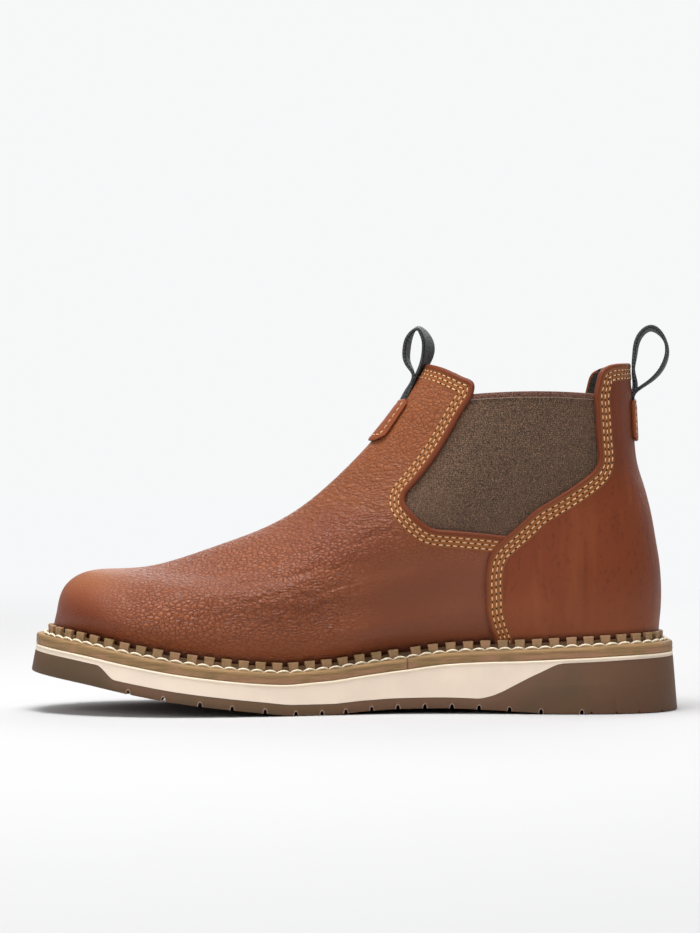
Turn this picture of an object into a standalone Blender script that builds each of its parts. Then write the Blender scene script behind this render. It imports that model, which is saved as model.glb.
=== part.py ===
"""Wedge sole work boot: a pull-on boot with elastic side gores, for the right foot.

Metres, +Z up. The boot stands on z = 0 with its toe towards -X and its inner side towards -Y.
A "share" is measured from the heel end of the sole (0) to its toe end (1). A "turn" goes round the
boot: 0 at the heel, up the outer side to pi at the toe, and back along the inner side to 2 pi.
"""

import math

import bmesh
import bpy
import numpy as np

# Overall sizes
LENGTH = 0.305  # the sole, heel to toe
BALL_WIDTH = 0.113  # the sole, across the ball of the foot
SHAFT_WIDTH = 0.073  # the upper, across the gores
TOE_BOX_HEIGHT = 0.0447  # from the sole's top to the top of the toe box
INSTEP_HEIGHT = 0.0807  # from the sole's top to the foot of the instep
FRONT_HEIGHT = 0.1408  # from the sole's top to the top of the front
BACK_HEIGHT = 0.1361  # from the sole's top to the top of the back quarter

# Sole
TOE_SPRING = 0.0187  # how far the toe end lifts off the floor
ARCH_LIFT = 0.0024  # how far the waist lifts off the floor
FORE_STACK = 0.0128  # outsole and midsole together, under the ball
HEEL_STACK = 0.0274  # outsole and midsole together, at the heel
TREAD_THICKNESS = 0.0050
TOE_STRIP = 0.0028  # midsole showing above the toe bumper
HEEL_STRIP = 0.0018  # midsole showing above the heel block
SOLE_FLARE = 0.0022  # the side wall leans out by this much, top to floor
RIM_HEIGHT = 0.0011  # the bead along the midsole's top edge
RIM_STEP = 0.0004
GROOVE_WIDTH = 0.0022
GROOVE_DEPTH = 0.0018
INSOLE_THICKNESS = 0.0030
INSOLE_CLEARANCE = 0.0008  # round the insole, inside the upper

# Welt
WELT_THICKNESS = 0.0050
TOE_LEDGE = 0.0054  # flat part of the welt outside the rib, at the toe
HEEL_LEDGE = 0.0044
RIB_THICKNESS = 0.0025
RIB_HEIGHT = 0.0040
RIB_FOOT = 0.0013  # height of the rib between its blocks
WELT_ROUND = 0.0008
BLOCK_PITCH = 0.0080
BLOCK_TOP = 0.0045  # length of a block along the welt, at its top
BLOCK_BASE = 0.0036
BLOCK_LEAN = 0.0001  # a block's face leans inwards by this much

# Upper, gores, tabs and pull loops
WALL = 0.0022
LAP = 0.0009  # the back quarter stands this far proud of the vamp
LAP_RUN = 0.0004  # half the width of the lap's sloping edge
LAP_START = 0.25  # the lap is full this share of the way from the rib's top to the next level
RIB_CLEARANCE = 0.0005  # between the rib's blocks and the leather
GORE_THICKNESS = 0.0015
GORE_RECESS = 0.0005
TAB_THICKNESS = 0.0016
TAB_WIDTH = 0.022
TAB_LENGTH = 0.020
TAB_DROP = 0.0165  # from the rim down to a tab's top edge
WEBBING_THICKNESS = 0.0018
WEBBING_WIDTH = 0.014
LOOP_FOOT = 0.0023  # thickness of the doubled webbing at a loop's foot
LOOP_LENGTH = 0.034  # from the tab's top edge to the top of a pull loop
GAP = 0.0003  # clearance between pieces that touch

HEEL_X = LENGTH / 2
FULL_TURN = 2 * math.pi
SIDES = (("lateral", 1), ("medial", -1))
SIDE_START = 0.1 * SHAFT_WIDTH  # cuts through one side begin this far from the middle plane
FEATHER_HEIGHT = WELT_THICKNESS + RIB_HEIGHT + 3 * GAP  # the upper's wall is upright this far

# Sole outline, as shares of the ball width
OUTLINE = (
    # share, inner side, outer side
    (0.04, 0.239, 0.239),
    (0.12, 0.330, 0.335),
    (0.22, 0.330, 0.355),
    (0.33, 0.303, 0.372),
    (0.42, 0.305, 0.396),
    (0.52, 0.363, 0.440),
    (0.60, 0.430, 0.485),
    (0.68, 0.480, 0.505),
    (0.75, 0.500, 0.492),
    (0.82, 0.487, 0.452),
    (0.89, 0.428, 0.378),
    (0.95, 0.318, 0.265),
)
TOE_TIP_SIDE = -0.044  # the toe's tip lies towards the inner side

# Steps of the meshes
OUTSOLE_STATIONS = 27
MIDSOLE_STATIONS = 33
INSOLE_STATIONS = 25
QUARTER_COLUMNS = 9  # on each side of the boot, behind the quarter's edge
VAMP_COLUMNS = 18  # on each side of the boot, in front of it
TAB_ROWS, TAB_COLUMNS = 6, 9
LOOP_STEPS = 24

# Side profile of the sole
SOLE_LINES = (
    # share, share of toe spring, share of arch lift, share of the wedge's growth
    (0.00, 0.000, 0.00, 1.000),
    (0.07, 0.000, 0.00, 0.955),
    (0.14, 0.000, 0.00, 0.885),
    (0.19, 0.000, 0.00, 0.835),
    (0.25, 0.000, 0.38, 0.710),
    (0.30, 0.000, 0.72, 0.625),
    (0.37, 0.000, 1.00, 0.485),
    (0.43, 0.000, 0.90, 0.330),
    (0.49, 0.000, 0.50, 0.235),
    (0.54, 0.000, 0.00, 0.175),
    (0.59, 0.000, 0.00, 0.095),
    (0.64, 0.080, 0.00, 0.020),
    (0.70, 0.190, 0.00, 0.000),
    (0.77, 0.345, 0.00, 0.000),
    (0.84, 0.550, 0.00, 0.000),
    (0.91, 0.775, 0.00, 0.000),
    (1.00, 1.000, 0.00, 0.000),
)
BROWN_WALL = (
    # share, how far the outsole rises from tread thickness (0) to the midsole strip (1)
    (0.000, 1.00),
    (0.184, 1.00),
    (0.222, 0.77),
    (0.258, 0.44),
    (0.275, 0.26),
    (0.293, 0.10),
    (0.315, 0.00),
    (0.861, 0.00),
    (0.889, 1.00),
    (1.000, 1.00),
)
GROOVES = (
    0.157, 0.2185, 0.266, 0.312, 0.353, 0.394, 0.435, 0.475,
    0.514, 0.550, 0.589, 0.635, 0.684, 0.732, 0.787, 0.840,
)

# Levels of the upper, from the welt to the collar. Each is a loop from a back point to a front point.
HALF_SHARES = (0.06, 0.18, 0.36, 0.55, 0.74, 0.90)  # where the half widths below are given, along a loop
UPPER_LEVELS = (
    # rows up to it, back reach, back rise, front reach, front rise, sway, half widths
    (1, 0.0292, 0.130, 0.9616, 0.349 * TOE_BOX_HEIGHT, 0.95, BALL_WIDTH,
     (0.226, 0.278, 0.287, 0.361, 0.431, 0.366)),
    (2, 0.0276, 0.210, 0.9511, 0.613 * TOE_BOX_HEIGHT, 0.90, BALL_WIDTH,
     (0.238, 0.287, 0.293, 0.360, 0.425, 0.339)),
    (3, 0.0292, 0.284, 0.9164, 0.828 * TOE_BOX_HEIGHT, 0.85, BALL_WIDTH,
     (0.239, 0.288, 0.292, 0.350, 0.403, 0.274)),
    (3, 0.0348, 0.372, 0.8279, 1.000 * TOE_BOX_HEIGHT, 0.75, BALL_WIDTH,
     (0.230, 0.283, 0.288, 0.314, 0.354, 0.226)),
    (3, 0.0430, 0.476, 0.7033, 0.767 * INSTEP_HEIGHT, 0.55, BALL_WIDTH,
     (0.217, 0.279, 0.292, 0.296, 0.279, 0.177)),
    (3, 0.0558, 0.586, 0.5852, 1.000 * INSTEP_HEIGHT, 0.35, SHAFT_WIDTH,
     (0.301, 0.425, 0.466, 0.459, 0.377, 0.212)),
    (2, 0.0669, 0.682, 0.5000, 0.717 * FRONT_HEIGHT, 0.20, SHAFT_WIDTH,
     (0.281, 0.418, 0.479, 0.473, 0.370, 0.212)),
    (2, 0.0712, 0.829, 0.4443, 0.842 * FRONT_HEIGHT, 0.10, SHAFT_WIDTH,
     (0.267, 0.411, 0.486, 0.486, 0.390, 0.240)),
    (2, 0.0768, 1.000, 0.3889, 1.000 * FRONT_HEIGHT, 0.05, SHAFT_WIDTH,
     (0.253, 0.404, 0.493, 0.500, 0.425, 0.281)),
)
RIM_DIP = (
    # share along the collar from back to front, share of the back height
    (0.00, 0.000),
    (0.09, 0.008),
    (0.14, 0.020),
    (0.17, 0.036),
    (0.25, 0.060),
    (0.75, 0.060),
    (0.82, 0.056),
    (0.87, 0.040),
    (0.93, 0.019),
    (1.00, 0.000),
)

# The front edge of the back quarter: share of the back height above the heel stack, share of length
QUARTER_EDGE = (
    (0.000, 0.2885),
    (0.107, 0.2948),
    (0.217, 0.3010),
    (0.312, 0.2980),
    (0.356, 0.2895),
    (0.398, 0.2692),
    (0.458, 0.2443),
    (0.531, 0.2311),
    (1.100, 0.2311),
)

# Corners of the opening for a gore, seen from the side
GORE_CORNERS = (
    # share of length, share of the back height above the heel stack, corner radius
    (0.3223, 0.881, 0.0000),
    (0.4318, 0.523, 0.0060),
    (0.3885, 0.423, 0.0120),
    (0.2685, 0.398, 0.0020),
    (0.2246, 0.490, 0.0200),
    (0.1256, 0.634, 0.0060),
    (0.1341, 0.884, 0.0000),
)
COLLAR_CORNERS = (
    # the rest of that opening, where it runs out between the front and the back quarter
    (0.1256, 0.962, 0.0060),
    (0.1079, 1.004, 0.0000),
    (0.1033, 1.060, 0.0000),
    (0.3361, 1.060, 0.0000),
    (0.3341, 0.946, 0.0000),
    (0.3190, 0.923, 0.0028),
)

# Middle lines of the pull loops, as shares of the loop length from the tab's top edge
FRONT_LOOP = (
    # towards the heel, up
    (0.159, 0.329),
    (0.088, 0.482),
    (0.076, 0.673),
    (0.135, 0.870),
    (0.229, 0.956),
    (0.329, 0.865),
    (0.373, 0.673),
    (0.297, 0.467),
)
BACK_LOOP = (
    (0.020, 0.105),
    (-0.010, 0.335),
    (-0.004, 0.570),
    (0.068, 0.850),
    (0.218, 0.960),
    (0.374, 0.865),
    (0.450, 0.640),
    (0.382, 0.409),
    (0.178, 0.188),
)

# name: base colour, roughness
FINISHES = {
    "outsole_rubber": ((0.118, 0.072, 0.048, 1), 0.62),
    "midsole_foam": ((0.760, 0.630, 0.500, 1), 0.55),
    "welt_rubber": ((0.270, 0.165, 0.085, 1), 0.55),
    "insole_board": ((0.520, 0.360, 0.220, 1), 0.80),
    "upper_leather": ((0.262, 0.098, 0.052, 1), 0.50),
    "gore_elastic": ((0.105, 0.063, 0.043, 1), 0.85),
    "loop_webbing": ((0.020, 0.018, 0.016, 1), 0.75),
}


def columns(table):
    """The columns of a table, each as an array."""
    return [np.array(column, float) for column in zip(*table)]


def hermite(knots, values, slopes, at):
    """A piecewise cubic with the given values and slopes at its knots, read at some places."""
    place = np.clip(np.searchsorted(knots, at, side="right") - 1, 0, len(knots) - 2)
    span = knots[place + 1] - knots[place]
    part = (at - knots[place]) / span
    if values.ndim > 1:
        extra = (slice(None),) + (None,) * (values.ndim - 1)
        part, span = part[extra], span[extra]
    return (
        values[place] * (1 + 2 * part) * (1 - part) ** 2
        + slopes[place] * span * part * (1 - part) ** 2
        + values[place + 1] * part**2 * (3 - 2 * part)
        + slopes[place + 1] * span * part**2 * (part - 1)
    )


def steady(knots, values, at):
    """A smooth curve through the points that never overshoots them, so that flat stretches stay flat."""
    widths = np.diff(knots)
    rates = np.diff(values) / widths
    slopes = np.zeros(len(knots))
    for i in range(1, len(knots) - 1):
        if rates[i - 1] * rates[i] > 0:
            before = 2 * widths[i] + widths[i - 1]
            after = widths[i] + 2 * widths[i - 1]
            slopes[i] = (before + after) / (before / rates[i - 1] + after / rates[i])
    slopes[0], slopes[-1] = rates[0], rates[-1]
    return hermite(knots, values, slopes, np.clip(at, knots[0], knots[-1]))


def flowing(knots, values, at, period=None):
    """A cubic spline through the points; with a period it closes on itself."""
    if period is not None:
        knots = np.append(knots, knots[0] + period)
        values = np.concatenate([values, values[:1]])
        at = knots[0] + np.mod(at - knots[0], period)
    widths = np.diff(knots)
    rates = np.diff(values, axis=0) / widths.reshape((-1,) + (1,) * (values.ndim - 1))
    last = len(knots) - 1
    system = np.zeros((last + 1, last + 1))
    wanted = np.zeros(values.shape)
    for i in range(1, last):
        system[i, i - 1 : i + 2] = widths[i], 2 * (widths[i - 1] + widths[i]), widths[i - 1]
        wanted[i] = 3 * (widths[i] * rates[i - 1] + widths[i - 1] * rates[i])
    if period is None:
        system[0, :2] = 2, 1
        wanted[0] = 3 * rates[0]
        system[last, -2:] = 1, 2
        wanted[last] = 3 * rates[-1]
    else:
        system[0, 0] = 2 * (widths[-1] + widths[0])
        system[0, 1], system[0, -2] = widths[-1], widths[0]
        wanted[0] = 3 * (widths[0] * rates[-1] + widths[-1] * rates[0])
        system[last, 0], system[last, last] = 1, -1
    slopes = np.linalg.solve(system, wanted.reshape(last + 1, -1)).reshape(values.shape)
    return hermite(knots, values, slopes, at)


def share_of(turn):
    return (1 - np.cos(turn)) / 2


def turn_of(share):
    return np.arccos(1 - 2 * np.asarray(share, float))


def outline_side(turn):
    """Y of the sole's outline at a turn, before the sole is centred."""
    shares, inner, outer = columns(OUTLINE)
    turns = turn_of(shares)
    knots = np.concatenate([[0], turns, [math.pi], FULL_TURN - turns[::-1]])
    values = np.concatenate([[0], outer, [TOE_TIP_SIDE], -inner[::-1]]) * BALL_WIDTH
    return flowing(knots, values, np.asarray(turn, float), FULL_TURN)


EVERY_TURN = np.linspace(0, FULL_TURN, 721)
CENTRE_Y = (outline_side(EVERY_TURN).max() + outline_side(EVERY_TURN).min()) / 2


def outline(turn, inset=0.0):
    """(x, y) on the sole's outline, moved inwards by the inset."""
    turn = np.asarray(turn, float)
    step = 1e-4
    x = HEEL_X - LENGTH * share_of(turn)
    y = outline_side(turn) - CENTRE_Y
    run = -LENGTH * np.sin(turn) / 2
    rise = (outline_side(turn + step) - outline_side(turn - step)) / (2 * step)
    size = np.hypot(run, rise)
    return x - inset * rise / size, y + inset * run / size


def middle_line(x):
    """Y halfway between the two sides of the sole at some x."""
    turn = turn_of(np.clip((HEEL_X - x) / LENGTH, 0, 1))
    return (outline_side(turn) + outline_side(FULL_TURN - turn)) / 2 - CENTRE_Y


def sole_share(x):
    return np.clip((HEEL_X - np.asarray(x, float)) / LENGTH, 0, 1)


def sole_bottom(x):
    shares, spring, arch, _ = columns(SOLE_LINES)
    share = sole_share(x)
    return TOE_SPRING * steady(shares, spring, share) + ARCH_LIFT * steady(shares, arch, share)


def sole_stack(x):
    shares, _, _, wedge = columns(SOLE_LINES)
    return FORE_STACK + (HEEL_STACK - FORE_STACK) * steady(shares, wedge, sole_share(x))


def sole_top(x):
    return sole_bottom(x) + sole_stack(x)


def outsole_top(x):
    share = sole_share(x)
    strip = np.where(share > 0.5, TOE_STRIP, HEEL_STRIP)
    rise = np.interp(share, *columns(BROWN_WALL))
    return sole_bottom(x) + TREAD_THICKNESS + (sole_stack(x) - strip - TREAD_THICKNESS) * rise


def ledge(turn):
    """Width of the flat part of the welt outside the rib."""
    return HEEL_LEDGE + (TOE_LEDGE - HEEL_LEDGE) * share_of(turn)


def feather_inset(turn):
    """How far the upper's foot lies inside the sole's outline."""
    return SOLE_FLARE + ledge(turn) + RIB_THICKNESS + RIB_CLEARANCE


def material(name):
    made = bpy.data.materials.get(name)
    if made is None:
        colour, roughness = FINISHES[name]
        made = bpy.data.materials.new(name)
        made.use_nodes = True
        shader = made.node_tree.nodes["Principled BSDF"]
        shader.inputs["Base Color"].default_value = colour
        shader.inputs["Roughness"].default_value = roughness
        shader.inputs["Metallic"].default_value = 0.0
    return made


def add_object(name, vertices, faces, finish=None):
    """An object of these faces, with doubles merged and all faces pointing out."""
    mesh = bpy.data.meshes.new(name)
    shape = bmesh.new()
    points = [shape.verts.new(point) for point in vertices]
    for face in faces:
        shape.faces.new([points[i] for i in face])
    bmesh.ops.remove_doubles(shape, verts=shape.verts, dist=1e-6)
    bmesh.ops.recalc_face_normals(shape, faces=shape.faces)
    shape.to_mesh(mesh)
    shape.free()
    made = bpy.data.objects.new(name, mesh)
    bpy.context.scene.collection.objects.link(made)
    if finish is None:
        made.hide_render = True
        made.display_type = "WIRE"
    else:
        mesh.materials.append(material(finish))
        mesh.shade_smooth()
        mesh.set_sharp_from_angle(angle=math.radians(35))
    return made


def cut(target, cutter, operation):
    modifier = target.modifiers.new(cutter.name, "BOOLEAN")
    modifier.operation = operation
    modifier.solver = "EXACT"
    modifier.object = cutter


def ring_stack(rings, closed_ends=False):
    """Faces between rings of equally many points; the point i of a ring is followed by i + 1."""
    size = len(rings[0])
    vertices = [point for ring in rings for point in ring]
    faces = []
    for start in range(0, len(vertices) - size, size):
        for i in range(size):
            after = (i + 1) % size
            faces.append((start + i, start + after, start + size + after, start + size + i))
    if closed_ends:
        last = len(vertices) - size
        faces.append(tuple(range(size - 1, -1, -1)))
        faces.append(tuple(last + i for i in range(size)))
    return vertices, faces


def stations(special, count):
    """Shares along the sole: close together at the ends, with the special ones in place."""
    even = share_of(np.linspace(0, math.pi, count))
    kept = [share for share in even if min(abs(share - s) for s in special) > 0.006]
    return np.array(sorted({0.0, 1.0, *kept, *special}))


def plank(name, shares, levels, finish):
    """A slab with the sole's outline. A level is (inset, height), each a function of a place.

    Levels run from the bottom of the side wall to its top. An inset takes a turn, and a height takes
    an x and the number of the station.
    """
    rings = []
    for number, turn in enumerate(turn_of(shares)):
        sides = []
        for side in (FULL_TURN - turn, turn):
            wall = []
            for inset, height in levels:
                x, y = outline(side, inset(side))
                wall.append((float(x), float(y), float(height(x, number))))
            sides.append(wall)
        rings.append(sides[0] + sides[1][::-1])
    return add_object(name, *ring_stack(rings), finish)


def add_outsole():
    corners = [share for share, _ in BROWN_WALL[1:-1]]
    half = GROOVE_WIDTH / 2 / LENGTH
    grooves = [g + offset for g in GROOVES for offset in (-half, -0.7 * half, 0.7 * half, half)]
    corners = [c for c in corners if min(abs(c - g) for g in grooves) > 0.002]
    shares = stations(corners + grooves, OUTSOLE_STATIONS)
    cut_up = np.array([min(abs(share - g) for g in GROOVES) < 0.8 * half for share in shares])
    lift = GROOVE_DEPTH * cut_up

    def wall_inset(turn):
        x = HEEL_X - LENGTH * share_of(turn)
        return SOLE_FLARE * (outsole_top(x) - sole_bottom(x)) / sole_stack(x)

    levels = (
        (lambda turn: 0.0, lambda x, i: sole_bottom(x) + lift[i]),
        (wall_inset, lambda x, i: outsole_top(x)),
    )
    plank("outsole", shares, levels, "outsole_rubber")


def add_midsole():
    shares = stations([row[0] for row in BROWN_WALL[1:-1] + SOLE_LINES[1:-1]], MIDSOLE_STATIONS)

    def foot_inset(turn):
        x = HEEL_X - LENGTH * share_of(turn)
        return SOLE_FLARE * (outsole_top(x) - sole_bottom(x)) / sole_stack(x)

    levels = (
        (foot_inset, lambda x, i: outsole_top(x) + GAP),
        (lambda turn: SOLE_FLARE, lambda x, i: sole_top(x) - RIM_HEIGHT),
        (lambda turn: SOLE_FLARE - RIM_STEP, lambda x, i: sole_top(x) - 0.8 * RIM_HEIGHT),
        (lambda turn: SOLE_FLARE - RIM_STEP, lambda x, i: sole_top(x) - 0.2 * RIM_HEIGHT),
        (lambda turn: SOLE_FLARE, lambda x, i: sole_top(x)),
    )
    plank("midsole", shares, levels, "midsole_foam")


def add_insole():
    def inset(turn):
        return feather_inset(turn) + WALL + INSOLE_CLEARANCE

    levels = (
        (inset, lambda x, i: sole_top(x) + GAP),
        (inset, lambda x, i: sole_top(x) + GAP + INSOLE_THICKNESS),
    )
    plank("insole", share_of(np.linspace(0, math.pi, INSOLE_STATIONS)), levels, "insole_board")


def add_welt():
    """A strip round the whole boot. Its rib stands higher over each block than between blocks."""
    turns = EVERY_TURN
    x, y = outline(turns, SOLE_FLARE + ledge(turns))
    run = np.concatenate([[0], np.cumsum(np.hypot(np.diff(x), np.diff(y)))])
    count = round(run[-1] / BLOCK_PITCH)
    pitch = run[-1] / count

    def place(distance):
        return float(np.interp(distance % run[-1], run, turns))

    def point(distance, inset, height):
        turn = place(distance)
        px, py = outline(turn, SOLE_FLARE + inset(turn))
        return float(px), float(py), float(sole_top(px) + GAP + height)

    def rib_back(turn):
        return ledge(turn) + RIB_THICKNESS

    strip = (
        (rib_back, 0.0),
        (lambda turn: 0.0, 0.0),
        (lambda turn: 0.0, WELT_THICKNESS - WELT_ROUND),
        (lambda turn: WELT_ROUND, WELT_THICKNESS),
        (ledge, WELT_THICKNESS),
        (ledge, WELT_THICKNESS + RIB_FOOT),
        (rib_back, WELT_THICKNESS + RIB_FOOT),
    )
    block = (
        (lambda turn: ledge(turn) + BLOCK_LEAN, WELT_THICKNESS + RIB_HEIGHT),
        (rib_back, WELT_THICKNESS + RIB_HEIGHT),
    )
    vertices = []
    faces = []
    size = len(strip) + len(block)
    for number in range(count):
        middle = number * pitch
        for sign in (-1, 1):
            vertices += [point(middle + sign * BLOCK_BASE / 2, *row) for row in strip]
            vertices += [point(middle + sign * BLOCK_TOP / 2, *row) for row in block]
    top_edge, top_back = len(strip), len(strip) + 1
    foot_edge, foot_back = len(strip) - 2, len(strip) - 1
    total = len(vertices)
    for number in range(count):
        first = number * 2 * size
        second = first + size
        following = (second + size) % total
        for i in range(foot_edge):
            faces.append((first + i, first + i + 1, second + i + 1, second + i))
            faces.append((second + i, second + i + 1, following + i + 1, following + i))
        faces.append((second + foot_edge, second + foot_back, following + foot_back, following + foot_edge))
        faces.append((first + foot_back, first, second, second + foot_back))
        faces.append((second + foot_back, second, following, following + foot_back))
        for a, b in ((foot_edge, top_edge), (top_edge, top_back), (top_back, foot_back)):
            faces.append((first + a, first + b, second + b, second + a))
        for start in (first, second):
            faces.append((start + foot_edge, start + top_edge, start + top_back, start + foot_back))
    add_object("welt", vertices, faces, "welt_rubber")


def level_loop(level, turns):
    """Points of one level of the upper, at some turns."""
    _, back_reach, back_rise, front_reach, front_rise, sway, width, halves = level
    shares = share_of(turns)
    back_x = HEEL_X - back_reach * LENGTH
    front_x = HEEL_X - front_reach * LENGTH
    x = back_x + (front_x - back_x) * shares
    knots = turn_of(HALF_SHARES)
    knots = np.concatenate([[0], knots, [math.pi], FULL_TURN - knots[::-1]])
    values = np.array([0, *halves, 0, *(-half for half in halves[::-1])]) * width
    y = flowing(knots, values, turns, FULL_TURN) + sway * middle_line(x)
    z = sole_top(x) + back_rise * BACK_HEIGHT + (front_rise - back_rise * BACK_HEIGHT) * shares
    return np.stack([x, y, z], axis=-1)


def make_skin():
    """The upper's base surface as a fine grid: rows go up, columns go round by EVERY_TURN."""
    x, y = outline(EVERY_TURN, feather_inset(EVERY_TURN))
    foot = np.stack([x, y, sole_top(x) + GAP], axis=-1)
    loops = [foot, foot + (0, 0, FEATHER_HEIGHT)]
    loops += [level_loop(level, EVERY_TURN) for level in UPPER_LEVELS]
    loops = np.array(loops)
    shares, dips = columns(RIM_DIP)
    loops[-1, :, 2] -= BACK_HEIGHT * steady(shares, dips, share_of(EVERY_TURN))
    front, back = loops[:, 360], loops[:, 0]
    steps = np.linalg.norm(np.diff(front, axis=0), axis=1) + np.linalg.norm(np.diff(back, axis=0), axis=1)
    knots = np.concatenate([[0], np.cumsum(steps)])
    heights = np.linspace(0, knots[-1], 401)
    points = flowing(knots, loops, heights)
    along = np.gradient(points, axis=0)
    round_it = np.gradient(np.concatenate([points[:, -2:-1], points, points[:, 1:2]], axis=1), axis=1)[:, 1:-1]
    normals = np.cross(round_it, along)
    upright = np.clip((heights - knots[1]) / (knots[2] - knots[1]), 0, 1)
    upright *= np.clip((knots[-1] - heights) / (knots[-1] - knots[-2]), 0, 1)
    normals /= np.linalg.norm(normals, axis=2, keepdims=True)
    normals[:, :, 2] *= upright[:, None]
    normals /= np.linalg.norm(normals, axis=2, keepdims=True)
    return knots, heights, points, normals


KNOTS, HEIGHTS, SKIN, NORMALS = make_skin()


def skin_at(height, turns, offset=0.0):
    """Points on the skin at one height of its grid, moved outwards by the offset."""
    row = np.interp(height, HEIGHTS, np.arange(len(HEIGHTS)))
    low = min(int(row), len(HEIGHTS) - 2)
    part = row - low
    found = []
    for grid in (SKIN, NORMALS):
        line = grid[low] * (1 - part) + grid[low + 1] * part
        found.append(np.stack([np.interp(turns, EVERY_TURN, line[:, i]) for i in range(3)], axis=-1))
    return found[0] + found[1] * np.reshape(offset, (-1, 1))


def quarter_turns(height):
    """The two turns, outer side then inner side, where a row of the skin meets the quarter's edge."""
    found = []
    rises, reaches = columns(QUARTER_EDGE)
    for turns in (EVERY_TURN[:361], EVERY_TURN[720:359:-1]):
        points = skin_at(height, turns)
        edge = HEEL_X - LENGTH * steady(rises, reaches, (points[:, 2] - HEEL_STACK) / BACK_HEIGHT)
        found.append(float(np.interp(0, (edge - points[:, 0]), turns)))
    return found


def upper_rows():
    """Heights of the rows of the upper's mesh."""
    rows = [KNOTS[0]]
    for number, count in enumerate([1] + [level[0] for level in UPPER_LEVELS]):
        rows += list(np.linspace(KNOTS[number], KNOTS[number + 1], count + 1)[1:])
    rows.insert(2, lap_height())
    return rows


def lap_height():
    """The row where the quarter's lap reaches its full thickness, just above the rib."""
    return KNOTS[1] + LAP_START * (KNOTS[2] - KNOTS[1])


def shell(name, outside, inside, finish, lap=0.0):
    """A hollow wall all round the foot between two offsets from the skin, with the quarter lapped on."""
    outer_rings, inner_rings = [], []
    for height in upper_rows():
        outer_edge, inner_edge = quarter_turns(height)
        span = skin_at(height, np.array([0.0, math.pi]))
        run = LAP_RUN / (abs(span[0, 0] - span[1, 0]) / 2 * math.sin(outer_edge))
        turns = np.concatenate([
            np.linspace(0, outer_edge - run, QUARTER_COLUMNS),
            np.linspace(outer_edge + run, math.pi, VAMP_COLUMNS),
            np.linspace(math.pi, inner_edge - run, VAMP_COLUMNS)[1:],
            np.linspace(inner_edge + run, FULL_TURN, QUARTER_COLUMNS)[:-1],
        ])
        proud = np.full(len(turns), outside)
        thickness = lap * np.clip((height - KNOTS[1]) / (lap_height() - KNOTS[1]), 0, 1)
        proud[:QUARTER_COLUMNS] += thickness
        proud[1 - QUARTER_COLUMNS :] += thickness
        outer_rings.append(skin_at(height, turns, proud))
        inner_rings.append(skin_at(height, turns, inside))
    rings = [*outer_rings, *inner_rings[::-1], outer_rings[0]]
    return add_object(name, *ring_stack([[tuple(p) for p in ring] for ring in rings]), finish)


def rounded(corners, arc_steps=4):
    """Points of an outline seen from the side: straight runs with arcs at its corners."""
    found = []
    spots = [
        np.array([HEEL_X - reach * LENGTH, HEEL_STACK + rise * BACK_HEIGHT]) for reach, rise, _ in corners
    ]
    for i, corner in enumerate(spots):
        radius = corners[i][2]
        before = spots[i - 1] - corner
        after = spots[(i + 1) % len(spots)] - corner
        before /= np.linalg.norm(before)
        after /= np.linalg.norm(after)
        half = math.acos(float(np.clip(before @ after, -1, 1))) / 2
        if radius == 0 or half > 1.5:
            found.append(corner)
            continue
        centre = corner + (before + after) / np.linalg.norm(before + after) * radius / math.sin(half)
        start = corner + before * radius / math.tan(half) - centre
        end = corner + after * radius / math.tan(half) - centre
        turned = math.atan2(start[0] * end[1] - start[1] * end[0], start @ end)
        for step in range(arc_steps + 1):
            angle = turned * step / arc_steps
            cos, sin = math.cos(angle), math.sin(angle)
            found.append(centre + (cos * start[0] - sin * start[1], sin * start[0] + cos * start[1]))
    return np.array(found)


def shrunk(points, inset):
    """An outline moved inwards all round."""
    ahead = np.roll(points, -1, axis=0) - points
    ahead /= np.linalg.norm(ahead, axis=1, keepdims=True)
    area = np.sum(points[:, 0] * np.roll(points[:, 1], -1) - np.roll(points[:, 0], -1) * points[:, 1])
    inward = np.stack([-ahead[:, 1], ahead[:, 0]], axis=1) * np.sign(area)
    mean = inward + np.roll(inward, 1, axis=0)
    mean /= np.sum(mean * inward, axis=1, keepdims=True)
    return points + mean * inset


def prism(name, points, near, far, finish=None):
    """A side-view outline given a thickness from y = near to y = far."""
    rings = [[(float(x), y, float(z)) for x, z in points] for y in (near, far)]
    return add_object(name, *ring_stack(rings, closed_ends=True), finish)


def add_upper():
    upper = shell("upper", 0.0, -WALL, "upper_leather", lap=LAP)
    opening = rounded(GORE_CORNERS + COLLAR_CORNERS)
    for side, sign in SIDES:
        cutter = prism(f"gore_opening_{side}", opening, sign * SIDE_START, sign * SHAFT_WIDTH)
        cut(upper, cutter, "DIFFERENCE")


def add_gores():
    outline_points = shrunk(rounded(GORE_CORNERS), GAP)
    for side, sign in SIDES:
        gore = shell(f"gore_{side}", -GORE_RECESS, -GORE_RECESS - GORE_THICKNESS, "gore_elastic")
        cutter = prism(f"gore_outline_{side}", outline_points, sign * SIDE_START, sign * SHAFT_WIDTH)
        cut(gore, cutter, "INTERSECT")


def height_on(turn, z):
    """The skin's row that crosses a height above the floor at the front or back middle line."""
    line = np.array([skin_at(height, np.array([turn]))[0, 2] for height in HEIGHTS])
    return float(np.interp(z, line, HEIGHTS))


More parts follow.
